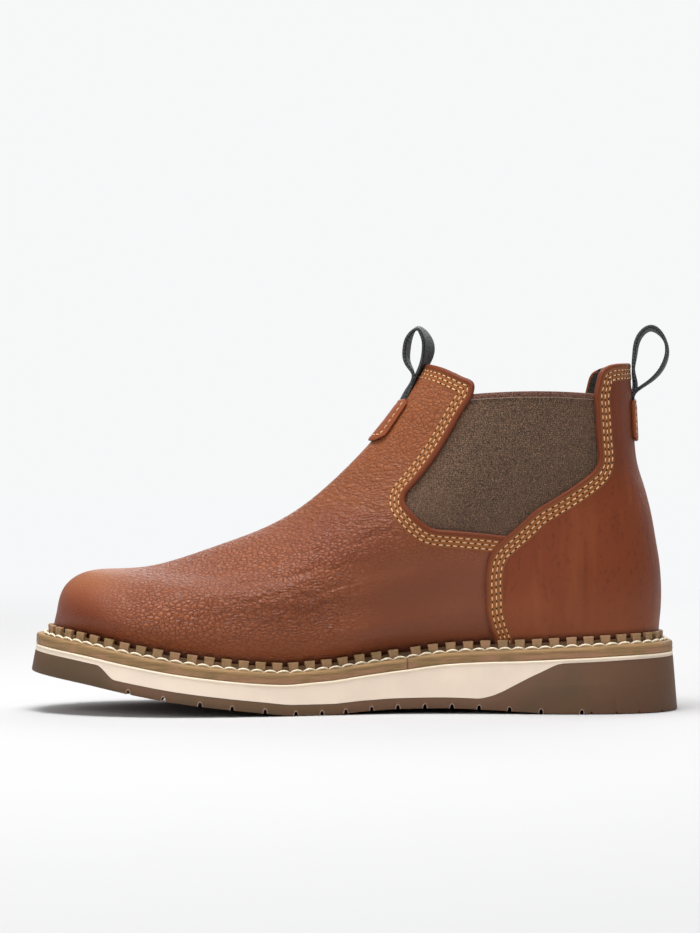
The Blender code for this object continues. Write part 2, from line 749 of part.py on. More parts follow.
def add_tab(name, turn, proud):
    """A leather tab on the middle line at the front or the back, following the skin."""
    rim = skin_at(HEIGHTS[-1], np.array([turn]))[0, 2]
    top, bottom = height_on(turn, rim - TAB_DROP), height_on(turn, rim - TAB_DROP - TAB_LENGTH)
    grids = []
    for offset in (proud + GAP + TAB_THICKNESS, proud + GAP):
        grid = []
        for height in np.linspace(bottom, top, TAB_ROWS):
            near = np.linspace(turn - 0.9, turn + 0.9, 61)
            side = skin_at(height, np.mod(near, FULL_TURN))[:, 1]
            side = side - side[30]
            wanted = np.linspace(-TAB_WIDTH / 2, TAB_WIDTH / 2, TAB_COLUMNS)
            order = np.argsort(side)
            turns = np.interp(wanted, side[order], near[order])
            grid.append(skin_at(height, np.mod(turns, FULL_TURN), offset))
        grids.append(grid)
    outer, inner = grids
    rings = [[*map(tuple, a), *map(tuple, b[::-1])] for a, b in zip(outer, inner)]
    add_object(name, *ring_stack(rings, closed_ends=True), "upper_leather")
    foot, above = (skin_at(top, np.array([turn]), offset)[0, ::2] for offset in (proud, proud + WALL))
    return foot, (above - foot) / np.linalg.norm(above - foot)


def add_pull_loop(name, path, foot, outward):
    """A webbing loop: an eye with a doubled foot, which stands on the tab's top edge.

    Foot is where that edge meets the leather on the middle line, and outward is the leather's normal.
    """
    upward = np.array([-outward[1], outward[0]])
    upward *= np.sign(upward[1])
    base = foot + outward * (GAP + LOOP_FOOT / 2) + upward * 3 * GAP
    points = base + np.array(path) * LOOP_LENGTH
    knots = np.arange(len(points), dtype=float)
    places = np.linspace(0, len(points), LOOP_STEPS, endpoint=False)
    middle = flowing(knots, points, places, float(len(points)))
    ahead = flowing(knots, points, places + 0.01, float(len(points))) - middle
    ahead /= np.linalg.norm(ahead, axis=1, keepdims=True)
    sideways = np.stack([-ahead[:, 1], ahead[:, 0]], axis=1) * WEBBING_THICKNESS / 2
    if np.sum(sideways[:, 0] * (middle - middle.mean(axis=0))[:, 0]) < 0:
        sideways = -sideways
    hole = middle - sideways
    rim = middle[1:-1] + sideways[1:-1]
    edge = outward * LOOP_FOOT / 2
    edge *= np.sign((rim[0] - rim[-1]) @ edge)
    rim = np.concatenate([rim, [base - edge, base + edge]])
    shape = bmesh.new()
    edges = []
    for loop in (rim, hole):
        made = [shape.verts.new((float(x), -WEBBING_WIDTH / 2, float(z))) for x, z in loop]
        edges += [shape.edges.new((made[i - 1], made[i])) for i in range(len(made))]
    bmesh.ops.triangle_fill(shape, edges=edges, use_beauty=True)
    pulled = bmesh.ops.extrude_face_region(shape, geom=shape.faces[:])
    moved = [part for part in pulled["geom"] if isinstance(part, bmesh.types.BMVert)]
    bmesh.ops.translate(shape, verts=moved, vec=(0, WEBBING_WIDTH, 0))
    vertices = [tuple(vertex.co) for vertex in shape.verts]
    shape.verts.index_update()
    faces = [tuple(vertex.index for vertex in face.verts) for face in shape.faces]
    shape.free()
    add_object(name, vertices, faces, "loop_webbing")


def main():
    for old in list(bpy.data.objects):
        bpy.data.objects.remove(old, do_unlink=True)
    add_outsole()
    add_midsole()
    add_welt()
    add_insole()
    add_upper()
    add_gores()
    add_pull_loop("pull_loop_front", FRONT_LOOP, *add_tab("loop_tab_front", math.pi, 0.0))
    add_pull_loop("pull_loop_back", BACK_LOOP, *add_tab("loop_tab_back", 0.0, LAP))


main()
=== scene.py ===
"""Looks of the wedge sole work boot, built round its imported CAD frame.

Metres, +Z up, floor at z = 0. The toe points to -X and the inner side of the foot to -Y. A "share"
runs along the sole from its heel end (0) to its toe end (1). A "turn" goes round the boot: 0 at the
heel, up the outer side to pi at the toe, and back along the inner side to 2 pi. A "height" runs up
the upper's skin, from 0 at the sole to 1 at the collar.
"""

import math

import bpy
import numpy as np
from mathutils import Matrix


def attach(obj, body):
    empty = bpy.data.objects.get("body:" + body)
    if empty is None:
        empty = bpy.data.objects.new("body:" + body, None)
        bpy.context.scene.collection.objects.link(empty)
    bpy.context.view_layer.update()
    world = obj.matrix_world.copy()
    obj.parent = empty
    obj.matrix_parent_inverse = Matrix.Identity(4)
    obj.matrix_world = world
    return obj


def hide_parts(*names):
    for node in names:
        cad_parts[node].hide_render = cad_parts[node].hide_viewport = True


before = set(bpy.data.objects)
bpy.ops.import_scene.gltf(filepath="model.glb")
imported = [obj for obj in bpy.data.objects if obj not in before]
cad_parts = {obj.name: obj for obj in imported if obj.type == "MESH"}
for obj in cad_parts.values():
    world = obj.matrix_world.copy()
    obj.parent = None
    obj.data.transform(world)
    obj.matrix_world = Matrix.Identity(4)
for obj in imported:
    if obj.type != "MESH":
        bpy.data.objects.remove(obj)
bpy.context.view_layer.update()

bl_info = {
    "name": "Wedge sole work boot",
    "version": (1, 0, 0),
    "blender": (4, 5, 0),
    "location": "View3D > Sidebar > Boot",
    "description": "Builds the leather, seams, sole and stage of a pull-on work boot",
    "category": "Object",
}

# Overall sizes, as the CAD model has them
LENGTH = 0.305
BALL_WIDTH = 0.113
SHAFT_WIDTH = 0.073
TOE_BOX_HEIGHT = 0.0447
INSTEP_HEIGHT = 0.0807
FRONT_HEIGHT = 0.1408
BACK_HEIGHT = 0.1361
TOE_SPRING = 0.0187
ARCH_LIFT = 0.0024
FORE_STACK = 0.0128
HEEL_STACK = 0.0274
TREAD_THICKNESS = 0.0050
TOE_STRIP = 0.0028
HEEL_STRIP = 0.0018
SOLE_FLARE = 0.0022
GROOVE_WIDTH = 0.0022
GROOVE_DEPTH = 0.0018
NOTCH_DEPTH = 0.0013
INSOLE_THICKNESS = 0.0030
INSOLE_CLEARANCE = 0.0008
WELT_THICKNESS = 0.0050
TOE_LEDGE = 0.0054
HEEL_LEDGE = 0.0044
RIB_THICKNESS = 0.0025
RIB_HEIGHT = 0.0040
RIB_CLEARANCE = 0.0005
LOW_RIB = 0.0027  # the rib between its blocks
BLOCK_PITCH = 0.0080
BLOCK_WIDTH = 0.0050
BLOCK_HEIGHT = 0.0046
WALL = 0.0022
LAP = 0.0009
TAB_DROP = 0.0165
TAB_LENGTH = 0.020
TAB_WIDTH = 0.022
LOOP_LENGTH = 0.034
LOOP_FOOT = 0.0023
WEBBING_WIDTH = 0.0135
WEBBING_THICKNESS = 0.0016
GAP = 0.0003

HEEL_X = LENGTH / 2
FULL_TURN = 2 * math.pi
UP = np.array([0.0, 0.0, 1.0])
FEATHER_HEIGHT = WELT_THICKNESS + RIB_HEIGHT + 3 * GAP
INNER, OUTER = -1, 1

# Sizes of the finished pieces alone
PANEL_TRIM = 0.0003  # how much thinner a leather panel is than the CAD wall
EDGE_CUT = 0.0016  # where a panel stops under its rolled edge
UNDERLAP = 0.0050  # how far the vamp runs on under the quarter
VAMP_BACK_SHARE, QUARTER_FRONT_SHARE = 0.215, 0.34  # how far along the sole their grids reach
RIM_STEPS = 12
GORE_UNDER = 0.0030  # how far the elastic runs under the leather
GORE_HEM = 0.0024
GORE_CROWN = 0.0012
GORE_THICKNESS = 0.0014
GORE_LOW = HEEL_STACK + 0.372 * BACK_HEIGHT
GORE_TOP = HEEL_STACK + 0.882 * BACK_HEIGHT
HEM_THREAD_RADIUS = 0.00022
FLASH_RADIUS = 0.00019
TAB_THICKNESS = 0.0015
LOOP_SETTLE = 0.0008  # how far the loops' feet sink towards the leather
ROW_LIFT = 0.00005  # the dent that a row of stitches lies in
STITCH_LIFT = 0.00012
HOLE_LENGTH, HOLE_WIDTH = 0.00125, 0.00092
JOINT_GAP = 0.3  # how much longer the blocks' gap is at the welt's joint, in pitches
ARC_POINTS, ARC_SIDES = 9, 6  # of one arc of the lockstitch
VAMP_ROWS = (0.0027, 0.0046, 0.0066)
QUARTER_ROWS = (0.0026, 0.0046, 0.0066)
ROW_PHASES = (0.0, 0.35, 0.7)
VAMP_GRID, QUARTER_GRID, GORE_GRID, TAB_GRID = (350, 150), (210, 110), (100, 90), (44, 40)

OUTLINE = (
    # share, inner side, outer side, as shares of the ball width
    (0.04, 0.239, 0.239),
    (0.12, 0.330, 0.335),
    (0.22, 0.330, 0.355),
    (0.33, 0.303, 0.372),
    (0.42, 0.305, 0.396),
    (0.52, 0.363, 0.440),
    (0.60, 0.430, 0.485),
    (0.68, 0.480, 0.505),
    (0.75, 0.500, 0.492),
    (0.82, 0.487, 0.452),
    (0.89, 0.428, 0.378),
    (0.95, 0.318, 0.265),
)
TOE_TIP_SIDE = -0.044

SOLE_LINES = (
    # share, share of toe spring, share of arch lift, share of the wedge's growth
    (0.00, 0.000, 0.00, 1.000),
    (0.07, 0.000, 0.00, 0.955),
    (0.14, 0.000, 0.00, 0.885),
    (0.19, 0.000, 0.00, 0.835),
    (0.25, 0.000, 0.38, 0.710),
    (0.30, 0.000, 0.72, 0.625),
    (0.37, 0.000, 1.00, 0.485),
    (0.43, 0.000, 0.90, 0.330),
    (0.49, 0.000, 0.50, 0.235),
    (0.54, 0.000, 0.00, 0.175),
    (0.59, 0.000, 0.00, 0.095),
    (0.64, 0.080, 0.00, 0.020),
    (0.70, 0.190, 0.00, 0.000),
    (0.77, 0.345, 0.00, 0.000),
    (0.84, 0.550, 0.00, 0.000),
    (0.91, 0.775, 0.00, 0.000),
    (1.00, 1.000, 0.00, 0.000),
)
BROWN_WALL = (
    # share, how far the outsole rises from tread thickness (0) to the midsole strip (1)
    (0.000, 1.00),
    (0.184, 1.00),
    (0.222, 0.77),
    (0.258, 0.44),
    (0.275, 0.26),
    (0.293, 0.10),
    (0.315, 0.00),
    (0.861, 0.00),
    (0.889, 1.00),
    (1.000, 1.00),
)
GROOVES = (
    0.157, 0.2185, 0.266, 0.312, 0.353, 0.394, 0.435, 0.475,
    0.514, 0.550, 0.589, 0.635, 0.684, 0.732, 0.787, 0.840,
)
HEEL_NOTCHES = (0.1420, 0.1035, 0.0675, 0.0310)  # small nicks under the heel, as shares of the length

HALF_SHARES = (0.06, 0.18, 0.36, 0.55, 0.74, 0.90)
UPPER_LEVELS = (
    # back reach, back rise, front reach, front rise, sway, width, half widths as shares of it
    (0.0292, 0.130, 0.9616, 0.349 * TOE_BOX_HEIGHT, 0.95, BALL_WIDTH,
     (0.226, 0.278, 0.287, 0.361, 0.431, 0.366)),
    (0.0276, 0.210, 0.9511, 0.613 * TOE_BOX_HEIGHT, 0.90, BALL_WIDTH,
     (0.238, 0.287, 0.293, 0.360, 0.425, 0.339)),
    (0.0292, 0.284, 0.9164, 0.828 * TOE_BOX_HEIGHT, 0.85, BALL_WIDTH,
     (0.239, 0.288, 0.292, 0.350, 0.403, 0.274)),
    (0.0348, 0.372, 0.8279, 1.000 * TOE_BOX_HEIGHT, 0.75, BALL_WIDTH,
     (0.230, 0.283, 0.288, 0.314, 0.354, 0.226)),
    (0.0430, 0.476, 0.7033, 0.767 * INSTEP_HEIGHT, 0.55, BALL_WIDTH,
     (0.217, 0.279, 0.292, 0.296, 0.279, 0.177)),
    (0.0558, 0.586, 0.5852, 1.000 * INSTEP_HEIGHT, 0.35, SHAFT_WIDTH,
     (0.301, 0.425, 0.466, 0.459, 0.377, 0.212)),
    (0.0669, 0.682, 0.5000, 0.717 * FRONT_HEIGHT, 0.20, SHAFT_WIDTH,
     (0.281, 0.418, 0.479, 0.473, 0.370, 0.212)),
    (0.0712, 0.829, 0.4443, 0.842 * FRONT_HEIGHT, 0.10, SHAFT_WIDTH,
     (0.267, 0.411, 0.486, 0.486, 0.390, 0.240)),
    (0.0768, 1.000, 0.3889, 1.000 * FRONT_HEIGHT, 0.05, SHAFT_WIDTH,
     (0.253, 0.404, 0.493, 0.500, 0.425, 0.281)),
)
RIM_DIP = (
    # share along the collar from back to front, share of the back height
    (0.00, 0.000),
    (0.09, 0.008),
    (0.14, 0.020),
    (0.17, 0.036),
    (0.25, 0.060),
    (0.75, 0.060),
    (0.82, 0.056),
    (0.87, 0.040),
    (0.93, 0.019),
    (1.00, 0.000),
)
# Side view corners: share of length, share of the back height above the heel stack, corner radius
QUARTER_EDGE = (
    (0.2885, 0.000, 0.0000),
    (0.2948, 0.107, 0.0000),
    (0.3010, 0.217, 0.0300),
    (0.2980, 0.312, 0.0200),
    (0.2895, 0.356, 0.0120),
    (0.2692, 0.398, 0.0200),
)
GORE_FRONT = (
    (0.2685, 0.398, 0.0000),
    (0.3885, 0.423, 0.0120),
    (0.4318, 0.523, 0.0060),
    (0.3223, 0.881, 0.0100),
)
GORE_BACK = (
    (0.2246, 0.490, 0.0200),
    (0.1256, 0.634, 0.0100),
    (0.1341, 0.884, 0.0150),
)
FRONT_SHOULDER = ((0.3190, 0.923, 0.0028),)
BACK_SHOULDER = ((0.1256, 0.962, 0.0060),)
FRONT_RIM_SHARE, BACK_RIM_SHARE = 0.3341, 0.1079  # where those edges meet the collar's rim

FRONT_LOOP = (
    # middle line of a pull loop, towards the heel and up, as shares of the loop length
    (0.159, 0.329),
    (0.088, 0.482),
    (0.076, 0.673),
    (0.135, 0.870),
    (0.229, 0.956),
    (0.329, 0.865),
    (0.379, 0.673),
    (0.322, 0.467),
)
BACK_LOOP = (
    (0.020, 0.105),
    (-0.010, 0.335),
    (-0.004, 0.570),
    (0.068, 0.850),
    (0.218, 0.960),
    (0.374, 0.865),
    (0.450, 0.640),
    (0.382, 0.409),
    (0.178, 0.188),
)
TABS = (
    # name, CAD node, turn, how far the leather under it stands proud
    ("front_tab", "loop_tab_front", math.pi, 0.0),
    ("back_tab", "loop_tab_back", 0.0, LAP),
)
LOOPS = (
    # name, CAD node, tab's turn, proud, path, twist in degrees along the loop
    ("front_loop", "pull_loop_front", math.pi, 0.0, FRONT_LOOP, (2, 9, 12, 6, -6, -16, -24, -16)),
    ("back_loop", "pull_loop_back", 0.0, LAP, BACK_LOOP, (0, 4, 9, 10, 6, -3, -8, -8, -3)),
)
# Soft folds of the vamp: x, z of the middle, half length, tilt in degrees, half width, depth
FOLDS = (
    (-0.058, 0.066, 0.016, 12, 0.0016, 0.00022),
    (-0.050, 0.060, 0.018, 8, 0.0018, 0.00026),
    (-0.046, 0.053, 0.020, 3, 0.0017, 0.00026),
    (-0.041, 0.070, 0.015, 18, 0.0016, 0.00020),
    (-0.034, 0.063, 0.017, 6, 0.0020, 0.00028),
    (-0.030, 0.056, 0.020, -2, 0.0018, 0.00028),
    (-0.028, 0.048, 0.018, -6, 0.0018, 0.00022),
    (-0.020, 0.075, 0.013, 20, 0.0018, 0.00022),
    (-0.015, 0.067, 0.015, 10, 0.0020, 0.00026),
    (-0.012, 0.059, 0.016, -2, 0.0018, 0.00024),
    (-0.010, 0.051, 0.014, -10, 0.0020, 0.00020),
    (0.002, 0.080, 0.010, 22, 0.0018, 0.00022),
    (0.004, 0.088, 0.011, 10, 0.0017, 0.00024),
    (0.008, 0.095, 0.011, -8, 0.0018, 0.00026),
    (0.012, 0.102, 0.010, -16, 0.0017, 0.00026),
    (0.010, 0.083, 0.010, 2, 0.0018, 0.00022),
    (0.019, 0.108, 0.008, -24, 0.0016, 0.00022),
    (0.026, 0.118, 0.008, -28, 0.0016, 0.00020),
    (0.034, 0.130, 0.008, -32, 0.0016, 0.00018),
    (0.040, 0.138, 0.008, -34, 0.0016, 0.00018),
)
HEM_PROFILE = (
    # how far below the gore's top, how far above the gore's face
    (0.0004, -0.0010),
    (-0.0004, -0.0008),
    (-0.0006, -0.0002),
    (-0.0004, 0.0003),
    (0.0002, 0.0005),
    (0.0016, 0.0005),
    (0.0022, 0.0003),
    (0.0023, -0.0010),
)
LAMPS = (
    # name, place, aim, width, depth, watts
    ("top_softbox", (-0.10, -0.15, 1.30), (0.0, 0.0, 0.05), 0.80, 0.55, 18.5),
    ("front_softbox", (-0.75, -1.45, 0.70), (-0.02, 0.0, 0.07), 0.9, 0.9, 8.6),
    ("back_softbox", (0.40, 1.25, 0.75), (0.0, 0.0, 0.08), 1.6, 0.7, 11.0),
)
CAMERA_PLACE = (-0.0024, -1.45, 0.1144)
CAMERA_LENS, CAMERA_SENSOR = 118.0, 36.0
BACKGROUND, FLOOR_GLOW = (0.930, 0.936, 0.940, 1), (0.930, 0.936, 0.945, 1)
LOW_GLOW, HIGH_GLOW = (0.24, 0.24, 0.24, 1), (0.52, 0.52, 0.52, 1)  # light from the room's foot and ceiling
PAPER = (0.58, 0.58, 0.585, 1)


# Curves and the boot's own surface


def columns(table):
    return [np.array(column, float) for column in zip(*table)]


def hermite(knots, values, slopes, at):
    """A piecewise cubic with the given values and slopes at its knots, read at some places."""
    place = np.clip(np.searchsorted(knots, at, side="right") - 1, 0, len(knots) - 2)
    span = knots[place + 1] - knots[place]
    part = (at - knots[place]) / span
    if values.ndim > 1:
        extra = (slice(None),) + (None,) * (values.ndim - 1)
        part, span = part[extra], span[extra]
    return (
        values[place] * (1 + 2 * part) * (1 - part) ** 2
        + slopes[place] * span * part * (1 - part) ** 2
        + values[place + 1] * part**2 * (3 - 2 * part)
        + slopes[place + 1] * span * part**2 * (part - 1)
    )


def steady(knots, values, at):
    """A smooth curve through the points that never overshoots them."""
    widths = np.diff(knots)
    rates = np.diff(values) / widths
    slopes = np.zeros(len(knots))
    for i in range(1, len(knots) - 1):
        if rates[i - 1] * rates[i] > 0:
            before = 2 * widths[i] + widths[i - 1]
            after = widths[i] + 2 * widths[i - 1]
            slopes[i] = (before + after) / (before / rates[i - 1] + after / rates[i])
    slopes[0], slopes[-1] = rates[0], rates[-1]
    return hermite(knots, values, slopes, np.clip(at, knots[0], knots[-1]))


def flowing(knots, values, at, period=None):
    """A cubic spline through the points; with a period it closes on itself."""
    if period is not None:
        knots = np.append(knots, knots[0] + period)
        values = np.concatenate([values, values[:1]])
        at = knots[0] + np.mod(at - knots[0], period)
    widths = np.diff(knots)
    rates = np.diff(values, axis=0) / widths.reshape((-1,) + (1,) * (values.ndim - 1))
    last = len(knots) - 1
    system = np.zeros((last + 1, last + 1))
    wanted = np.zeros(values.shape)
    for i in range(1, last):
        system[i, i - 1 : i + 2] = widths[i], 2 * (widths[i - 1] + widths[i]), widths[i - 1]
        wanted[i] = 3 * (widths[i] * rates[i - 1] + widths[i - 1] * rates[i])
    if period is None:
        system[0, :2] = 2, 1
        wanted[0] = 3 * rates[0]
        system[last, -2:] = 1, 2
        wanted[last] = 3 * rates[-1]
    else:
        system[0, 0] = 2 * (widths[-1] + widths[0])
        system[0, 1], system[0, -2] = widths[-1], widths[0]
        wanted[0] = 3 * (widths[0] * rates[-1] + widths[-1] * rates[0])
        system[last, 0], system[last, last] = 1, -1
    slopes = np.linalg.solve(system, wanted.reshape(last + 1, -1)).reshape(values.shape)
    return hermite(knots, values, slopes, at)


def share_of(turn):
    return (1 - np.cos(turn)) / 2


def turn_of(share):
    return np.arccos(1 - 2 * np.asarray(share, float))


def outline_side(turn):
    shares, inner, outer = columns(OUTLINE)
    turns = turn_of(shares)
    knots = np.concatenate([[0], turns, [math.pi], FULL_TURN - turns[::-1]])
    values = np.concatenate([[0], outer, [TOE_TIP_SIDE], -inner[::-1]]) * BALL_WIDTH
    return flowing(knots, values, np.asarray(turn, float), FULL_TURN)


EVERY_TURN = np.linspace(0, FULL_TURN, 721)
CENTRE_Y = (outline_side(EVERY_TURN).max() + outline_side(EVERY_TURN).min()) / 2


def outline(turn, inset=0.0):
    """(x, y) on the sole's outline, moved inwards by the inset."""
    turn = np.asarray(turn, float)
    step = 1e-4
    x = HEEL_X - LENGTH * share_of(turn)
    y = outline_side(turn) - CENTRE_Y
    run = -LENGTH * np.sin(turn) / 2
    rise = (outline_side(turn + step) - outline_side(turn - step)) / (2 * step)
    size = np.hypot(run, rise)
    return x - inset * rise / size, y + inset * run / size


def middle_line(x):
    """The y of the sole's middle at some x."""
    turn = turn_of(np.clip((HEEL_X - x) / LENGTH, 0, 1))
    return (outline_side(turn) + outline_side(FULL_TURN - turn)) / 2 - CENTRE_Y


def sole_share(x):
    return np.clip((HEEL_X - np.asarray(x, float)) / LENGTH, 0, 1)


def sole_bottom(x):
    shares, spring, arch, _ = columns(SOLE_LINES)
    share = sole_share(x)
    return TOE_SPRING * steady(shares, spring, share) + ARCH_LIFT * steady(shares, arch, share)


def sole_stack(x):
    shares, _, _, wedge = columns(SOLE_LINES)
    return FORE_STACK + (HEEL_STACK - FORE_STACK) * steady(shares, wedge, sole_share(x))


def sole_top(x):
    return sole_bottom(x) + sole_stack(x)


def outsole_top(x):
    share = sole_share(x)
    strip = np.where(share > 0.5, TOE_STRIP, HEEL_STRIP)
    rise = steady(*columns(BROWN_WALL), share)
    return sole_bottom(x) + TREAD_THICKNESS + (sole_stack(x) - strip - TREAD_THICKNESS) * rise


def ledge(turn):
    """How far the welt stands out beyond its rib."""
    return HEEL_LEDGE + (TOE_LEDGE - HEEL_LEDGE) * share_of(turn)


def feather_inset(turn):
    return SOLE_FLARE + ledge(turn) + RIB_THICKNESS + RIB_CLEARANCE


def level_loop(level, turns):
    """One of the upper's levels as points round the boot."""
    back_reach, back_rise, front_reach, front_rise, sway, width, halves = level
    shares = share_of(turns)
    back_x = HEEL_X - back_reach * LENGTH
    front_x = HEEL_X - front_reach * LENGTH
    x = back_x + (front_x - back_x) * shares
    knots = turn_of(HALF_SHARES)
    knots = np.concatenate([[0], knots, [math.pi], FULL_TURN - knots[::-1]])
    values = np.array([0, *halves, 0, *(-half for half in halves[::-1])]) * width
    y = flowing(knots, values, turns, FULL_TURN) + sway * middle_line(x)
    z = sole_top(x) + back_rise * BACK_HEIGHT + (front_rise - back_rise * BACK_HEIGHT) * shares
    return np.stack([x, y, z], axis=-1)


def make_skin():
    """The upper's base surface as a fine grid, with its normals: rows go up, columns go round."""
    x, y = outline(EVERY_TURN, feather_inset(EVERY_TURN))
    foot = np.stack([x, y, sole_top(x) + GAP], axis=-1)
    loops = [foot, foot + (0, 0, FEATHER_HEIGHT)]
    loops += [level_loop(level, EVERY_TURN) for level in UPPER_LEVELS]
    loops = np.array(loops)
    shares, dips = columns(RIM_DIP)
    loops[-1, :, 2] -= BACK_HEIGHT * steady(shares, dips, share_of(EVERY_TURN))
    front, back = loops[:, 360], loops[:, 0]
    steps = np.linalg.norm(np.diff(front, axis=0), axis=1) + np.linalg.norm(np.diff(back, axis=0), axis=1)
    knots = np.concatenate([[0], np.cumsum(steps)])
    heights = np.linspace(0, knots[-1], 401)
    points = flowing(knots, loops, heights)
    along = np.gradient(points, axis=0)
    wrapped = np.concatenate([points[:, -2:-1], points, points[:, 1:2]], axis=1)
    round_it = np.gradient(wrapped, axis=1)[:, 1:-1]
    normals = np.cross(round_it, along)
    upright = np.clip((heights - knots[1]) / (knots[2] - knots[1]), 0, 1)
    upright *= np.clip((knots[-1] - heights) / (knots[-1] - knots[-2]), 0, 1)
    normals /= np.linalg.norm(normals, axis=2, keepdims=True)
    normals[:, :, 2] *= upright[:, None]
    normals /= np.linalg.norm(normals, axis=2, keepdims=True)
    return points, normals, round_it * 720 / FULL_TURN, along * 400


SKIN, SKIN_NORMALS, SKIN_ROUND, SKIN_UP = make_skin()


def sample(grid, turns, heights):
    """A grid over the skin, read at some turns and heights."""
    turns, heights = np.broadcast_arrays(np.asarray(turns, float), np.asarray(heights, float))
    column = np.mod(turns, FULL_TURN) / FULL_TURN * (grid.shape[1] - 1)
    row = np.clip(heights, 0, 1) * (grid.shape[0] - 1)
    left = np.minimum(column.astype(int), grid.shape[1] - 2)
    below = np.minimum(row.astype(int), grid.shape[0] - 2)
    across, up = (column - left)[..., None], (row - below)[..., None]
    low = grid[below, left] * (1 - across) + grid[below, left + 1] * across
    high = grid[below + 1, left] * (1 - across) + grid[below + 1, left + 1] * across
    return low * (1 - up) + high * up


def unit(vectors):
    return vectors / np.maximum(np.linalg.norm(vectors, axis=-1, keepdims=True), 1e-12)


def on_skin(turns, heights, lift=0.0):
    """Points on the skin at some turns and heights, lifted off it."""
    lift = np.asarray(lift, float)[..., None]
    return sample(SKIN, turns, heights) + unit(sample(SKIN_NORMALS, turns, heights)) * lift


def walk(turns, heights, direction, distance):
    """The turns and heights reached by going some way over the skin in a direction."""
    steps = max(1, int(math.ceil(abs(distance) / 0.0010)))
    for _ in range(steps):
        round_it, up = sample(SKIN_ROUND, turns, heights), sample(SKIN_UP, turns, heights)
        a, b, c = (np.sum(u * w, axis=-1) for u, w in ((round_it, round_it), (round_it, up), (up, up)))
        p, q = np.sum(round_it * direction, axis=-1), np.sum(up * direction, axis=-1)
        turn_step, height_step = (c * p - b * q) / (a * c - b * b), (a * q - b * p) / (a * c - b * b)
        size = np.linalg.norm(round_it * turn_step[:, None] + up * height_step[:, None], axis=-1)
        turns = turns + turn_step / size * distance / steps
        heights = heights + height_step / size * distance / steps
    return turns, heights


def side_spots(points, side):
    """Turns and heights of the skin under points (x, z) seen from one side of the boot."""
    points = np.asarray(points, float)
    some_turns, some_heights = np.meshgrid(side * np.linspace(0.02, 3.12, 125), np.linspace(0, 1, 101))
    some_turns, some_heights = some_turns.ravel(), some_heights.ravel()
    seen = sample(SKIN, some_turns, some_heights)[:, ::2]
    nearest = [np.argmin(np.sum((seen - point) ** 2, axis=1)) for point in points]
    turns, heights = some_turns[nearest], some_heights[nearest]
    for _ in range(8):
        miss = points - sample(SKIN, turns, heights)[:, ::2]
        round_it, up = (sample(grid, turns, heights)[:, ::2] for grid in (SKIN_ROUND, SKIN_UP))
        size = round_it[:, 0] * up[:, 1] - round_it[:, 1] * up[:, 0]
        turns = turns + np.clip((miss[:, 0] * up[:, 1] - miss[:, 1] * up[:, 0]) / size, -0.03, 0.03)
        step = (round_it[:, 0] * miss[:, 1] - round_it[:, 1] * miss[:, 0]) / size
        heights = np.clip(heights + np.clip(step, -0.02, 0.02), 0, 1)
    return turns, heights


def rim_turn(share):
    """The turn, on the outer side, where the collar's rim lies over a share of the sole."""
    half = np.linspace(0, math.pi, 361)
    return float(np.interp(share, (HEEL_X - on_skin(half, 1.0)[:, 0]) / LENGTH, half))


def rounded(corners, closed=False, arc_steps=8):
    """Points (x, z) of a side-view line with arcs at its corners."""
    spots = [np.array([HEEL_X - reach * LENGTH, HEEL_STACK + rise * BACK_HEIGHT])
             for reach, rise, _ in corners]
    found = []
    for i, corner in enumerate(spots):
        radius = corners[i][2]
        if radius == 0 or not (closed or 0 < i < len(spots) - 1):
            found.append(corner)
            continue
        before = unit(spots[i - 1] - corner)
        after = unit(spots[(i + 1) % len(spots)] - corner)
        half = math.acos(float(np.clip(before @ after, -1, 1))) / 2
        centre = corner + unit(before + after) * radius / math.sin(half)
        start = corner + before * radius / math.tan(half) - centre
        end = corner + after * radius / math.tan(half) - centre
        turned = math.atan2(start[0] * end[1] - start[1] * end[0], start @ end)
        for angle in np.linspace(0, turned, arc_steps + 1):
            cos, sin = math.cos(angle), math.sin(angle)
            found.append(centre + (cos * start[0] - sin * start[1], sin * start[0] + cos * start[1]))
    return np.array(found)


def distance_to(line, points, closed=False):
    """Distance from points to a line of straight runs, in a plane or in space."""
    ends = np.roll(line, -1, axis=0) if closed else line[1:]
    best = np.full(len(points), np.inf)
    for a, b in zip(line if closed else line[:-1], ends):
        run = b - a
        part = np.clip(((points - a) @ run) / max(run @ run, 1e-18), 0, 1)
        best = np.minimum(best, np.linalg.norm(points - a - part[:, None] * run, axis=1))
    return best


def inside(line, points):
    """Whether points in a plane lie inside a closed line."""
    found = np.zeros(len(points), bool)
    for a, b in zip(line, np.roll(line, -1, axis=0)):
        crosses = (a[1] > points[:, 1]) != (b[1] > points[:, 1])
        at = a[0] + (points[:, 1] - a[1]) / (b[1] - a[1] + 1e-18) * (b[0] - a[0])
        found ^= crosses & (points[:, 0] < at)
    return found


TOP_OPENING = rounded(
    GORE_FRONT + FRONT_SHOULDER + ((FRONT_RIM_SHARE, 0.94, 0), (FRONT_RIM_SHARE, 1.15, 0),
                                   (BACK_RIM_SHARE, 1.15, 0), (BACK_RIM_SHARE, 1.00, 0))
    + BACK_SHOULDER + tuple(reversed(GORE_BACK)), closed=True)
QUARTER_LINE = rounded(QUARTER_EDGE + GORE_BACK[:1])


def opening_distance(points):
    """Side-view distance from the opening over and round a gore, negative inside it."""
    seen = points[:, ::2]
    away = distance_to(TOP_OPENING, seen, closed=True)
    return np.where(inside(TOP_OPENING, seen), -away, away)


def behind_quarter(points):
    """How far points lie behind the quarter's front edge, along the boot."""
    order = np.argsort(QUARTER_LINE[:, 1])
    edge = np.interp(points[:, 2], QUARTER_LINE[order, 1], QUARTER_LINE[order, 0])
    return points[:, 0] - edge


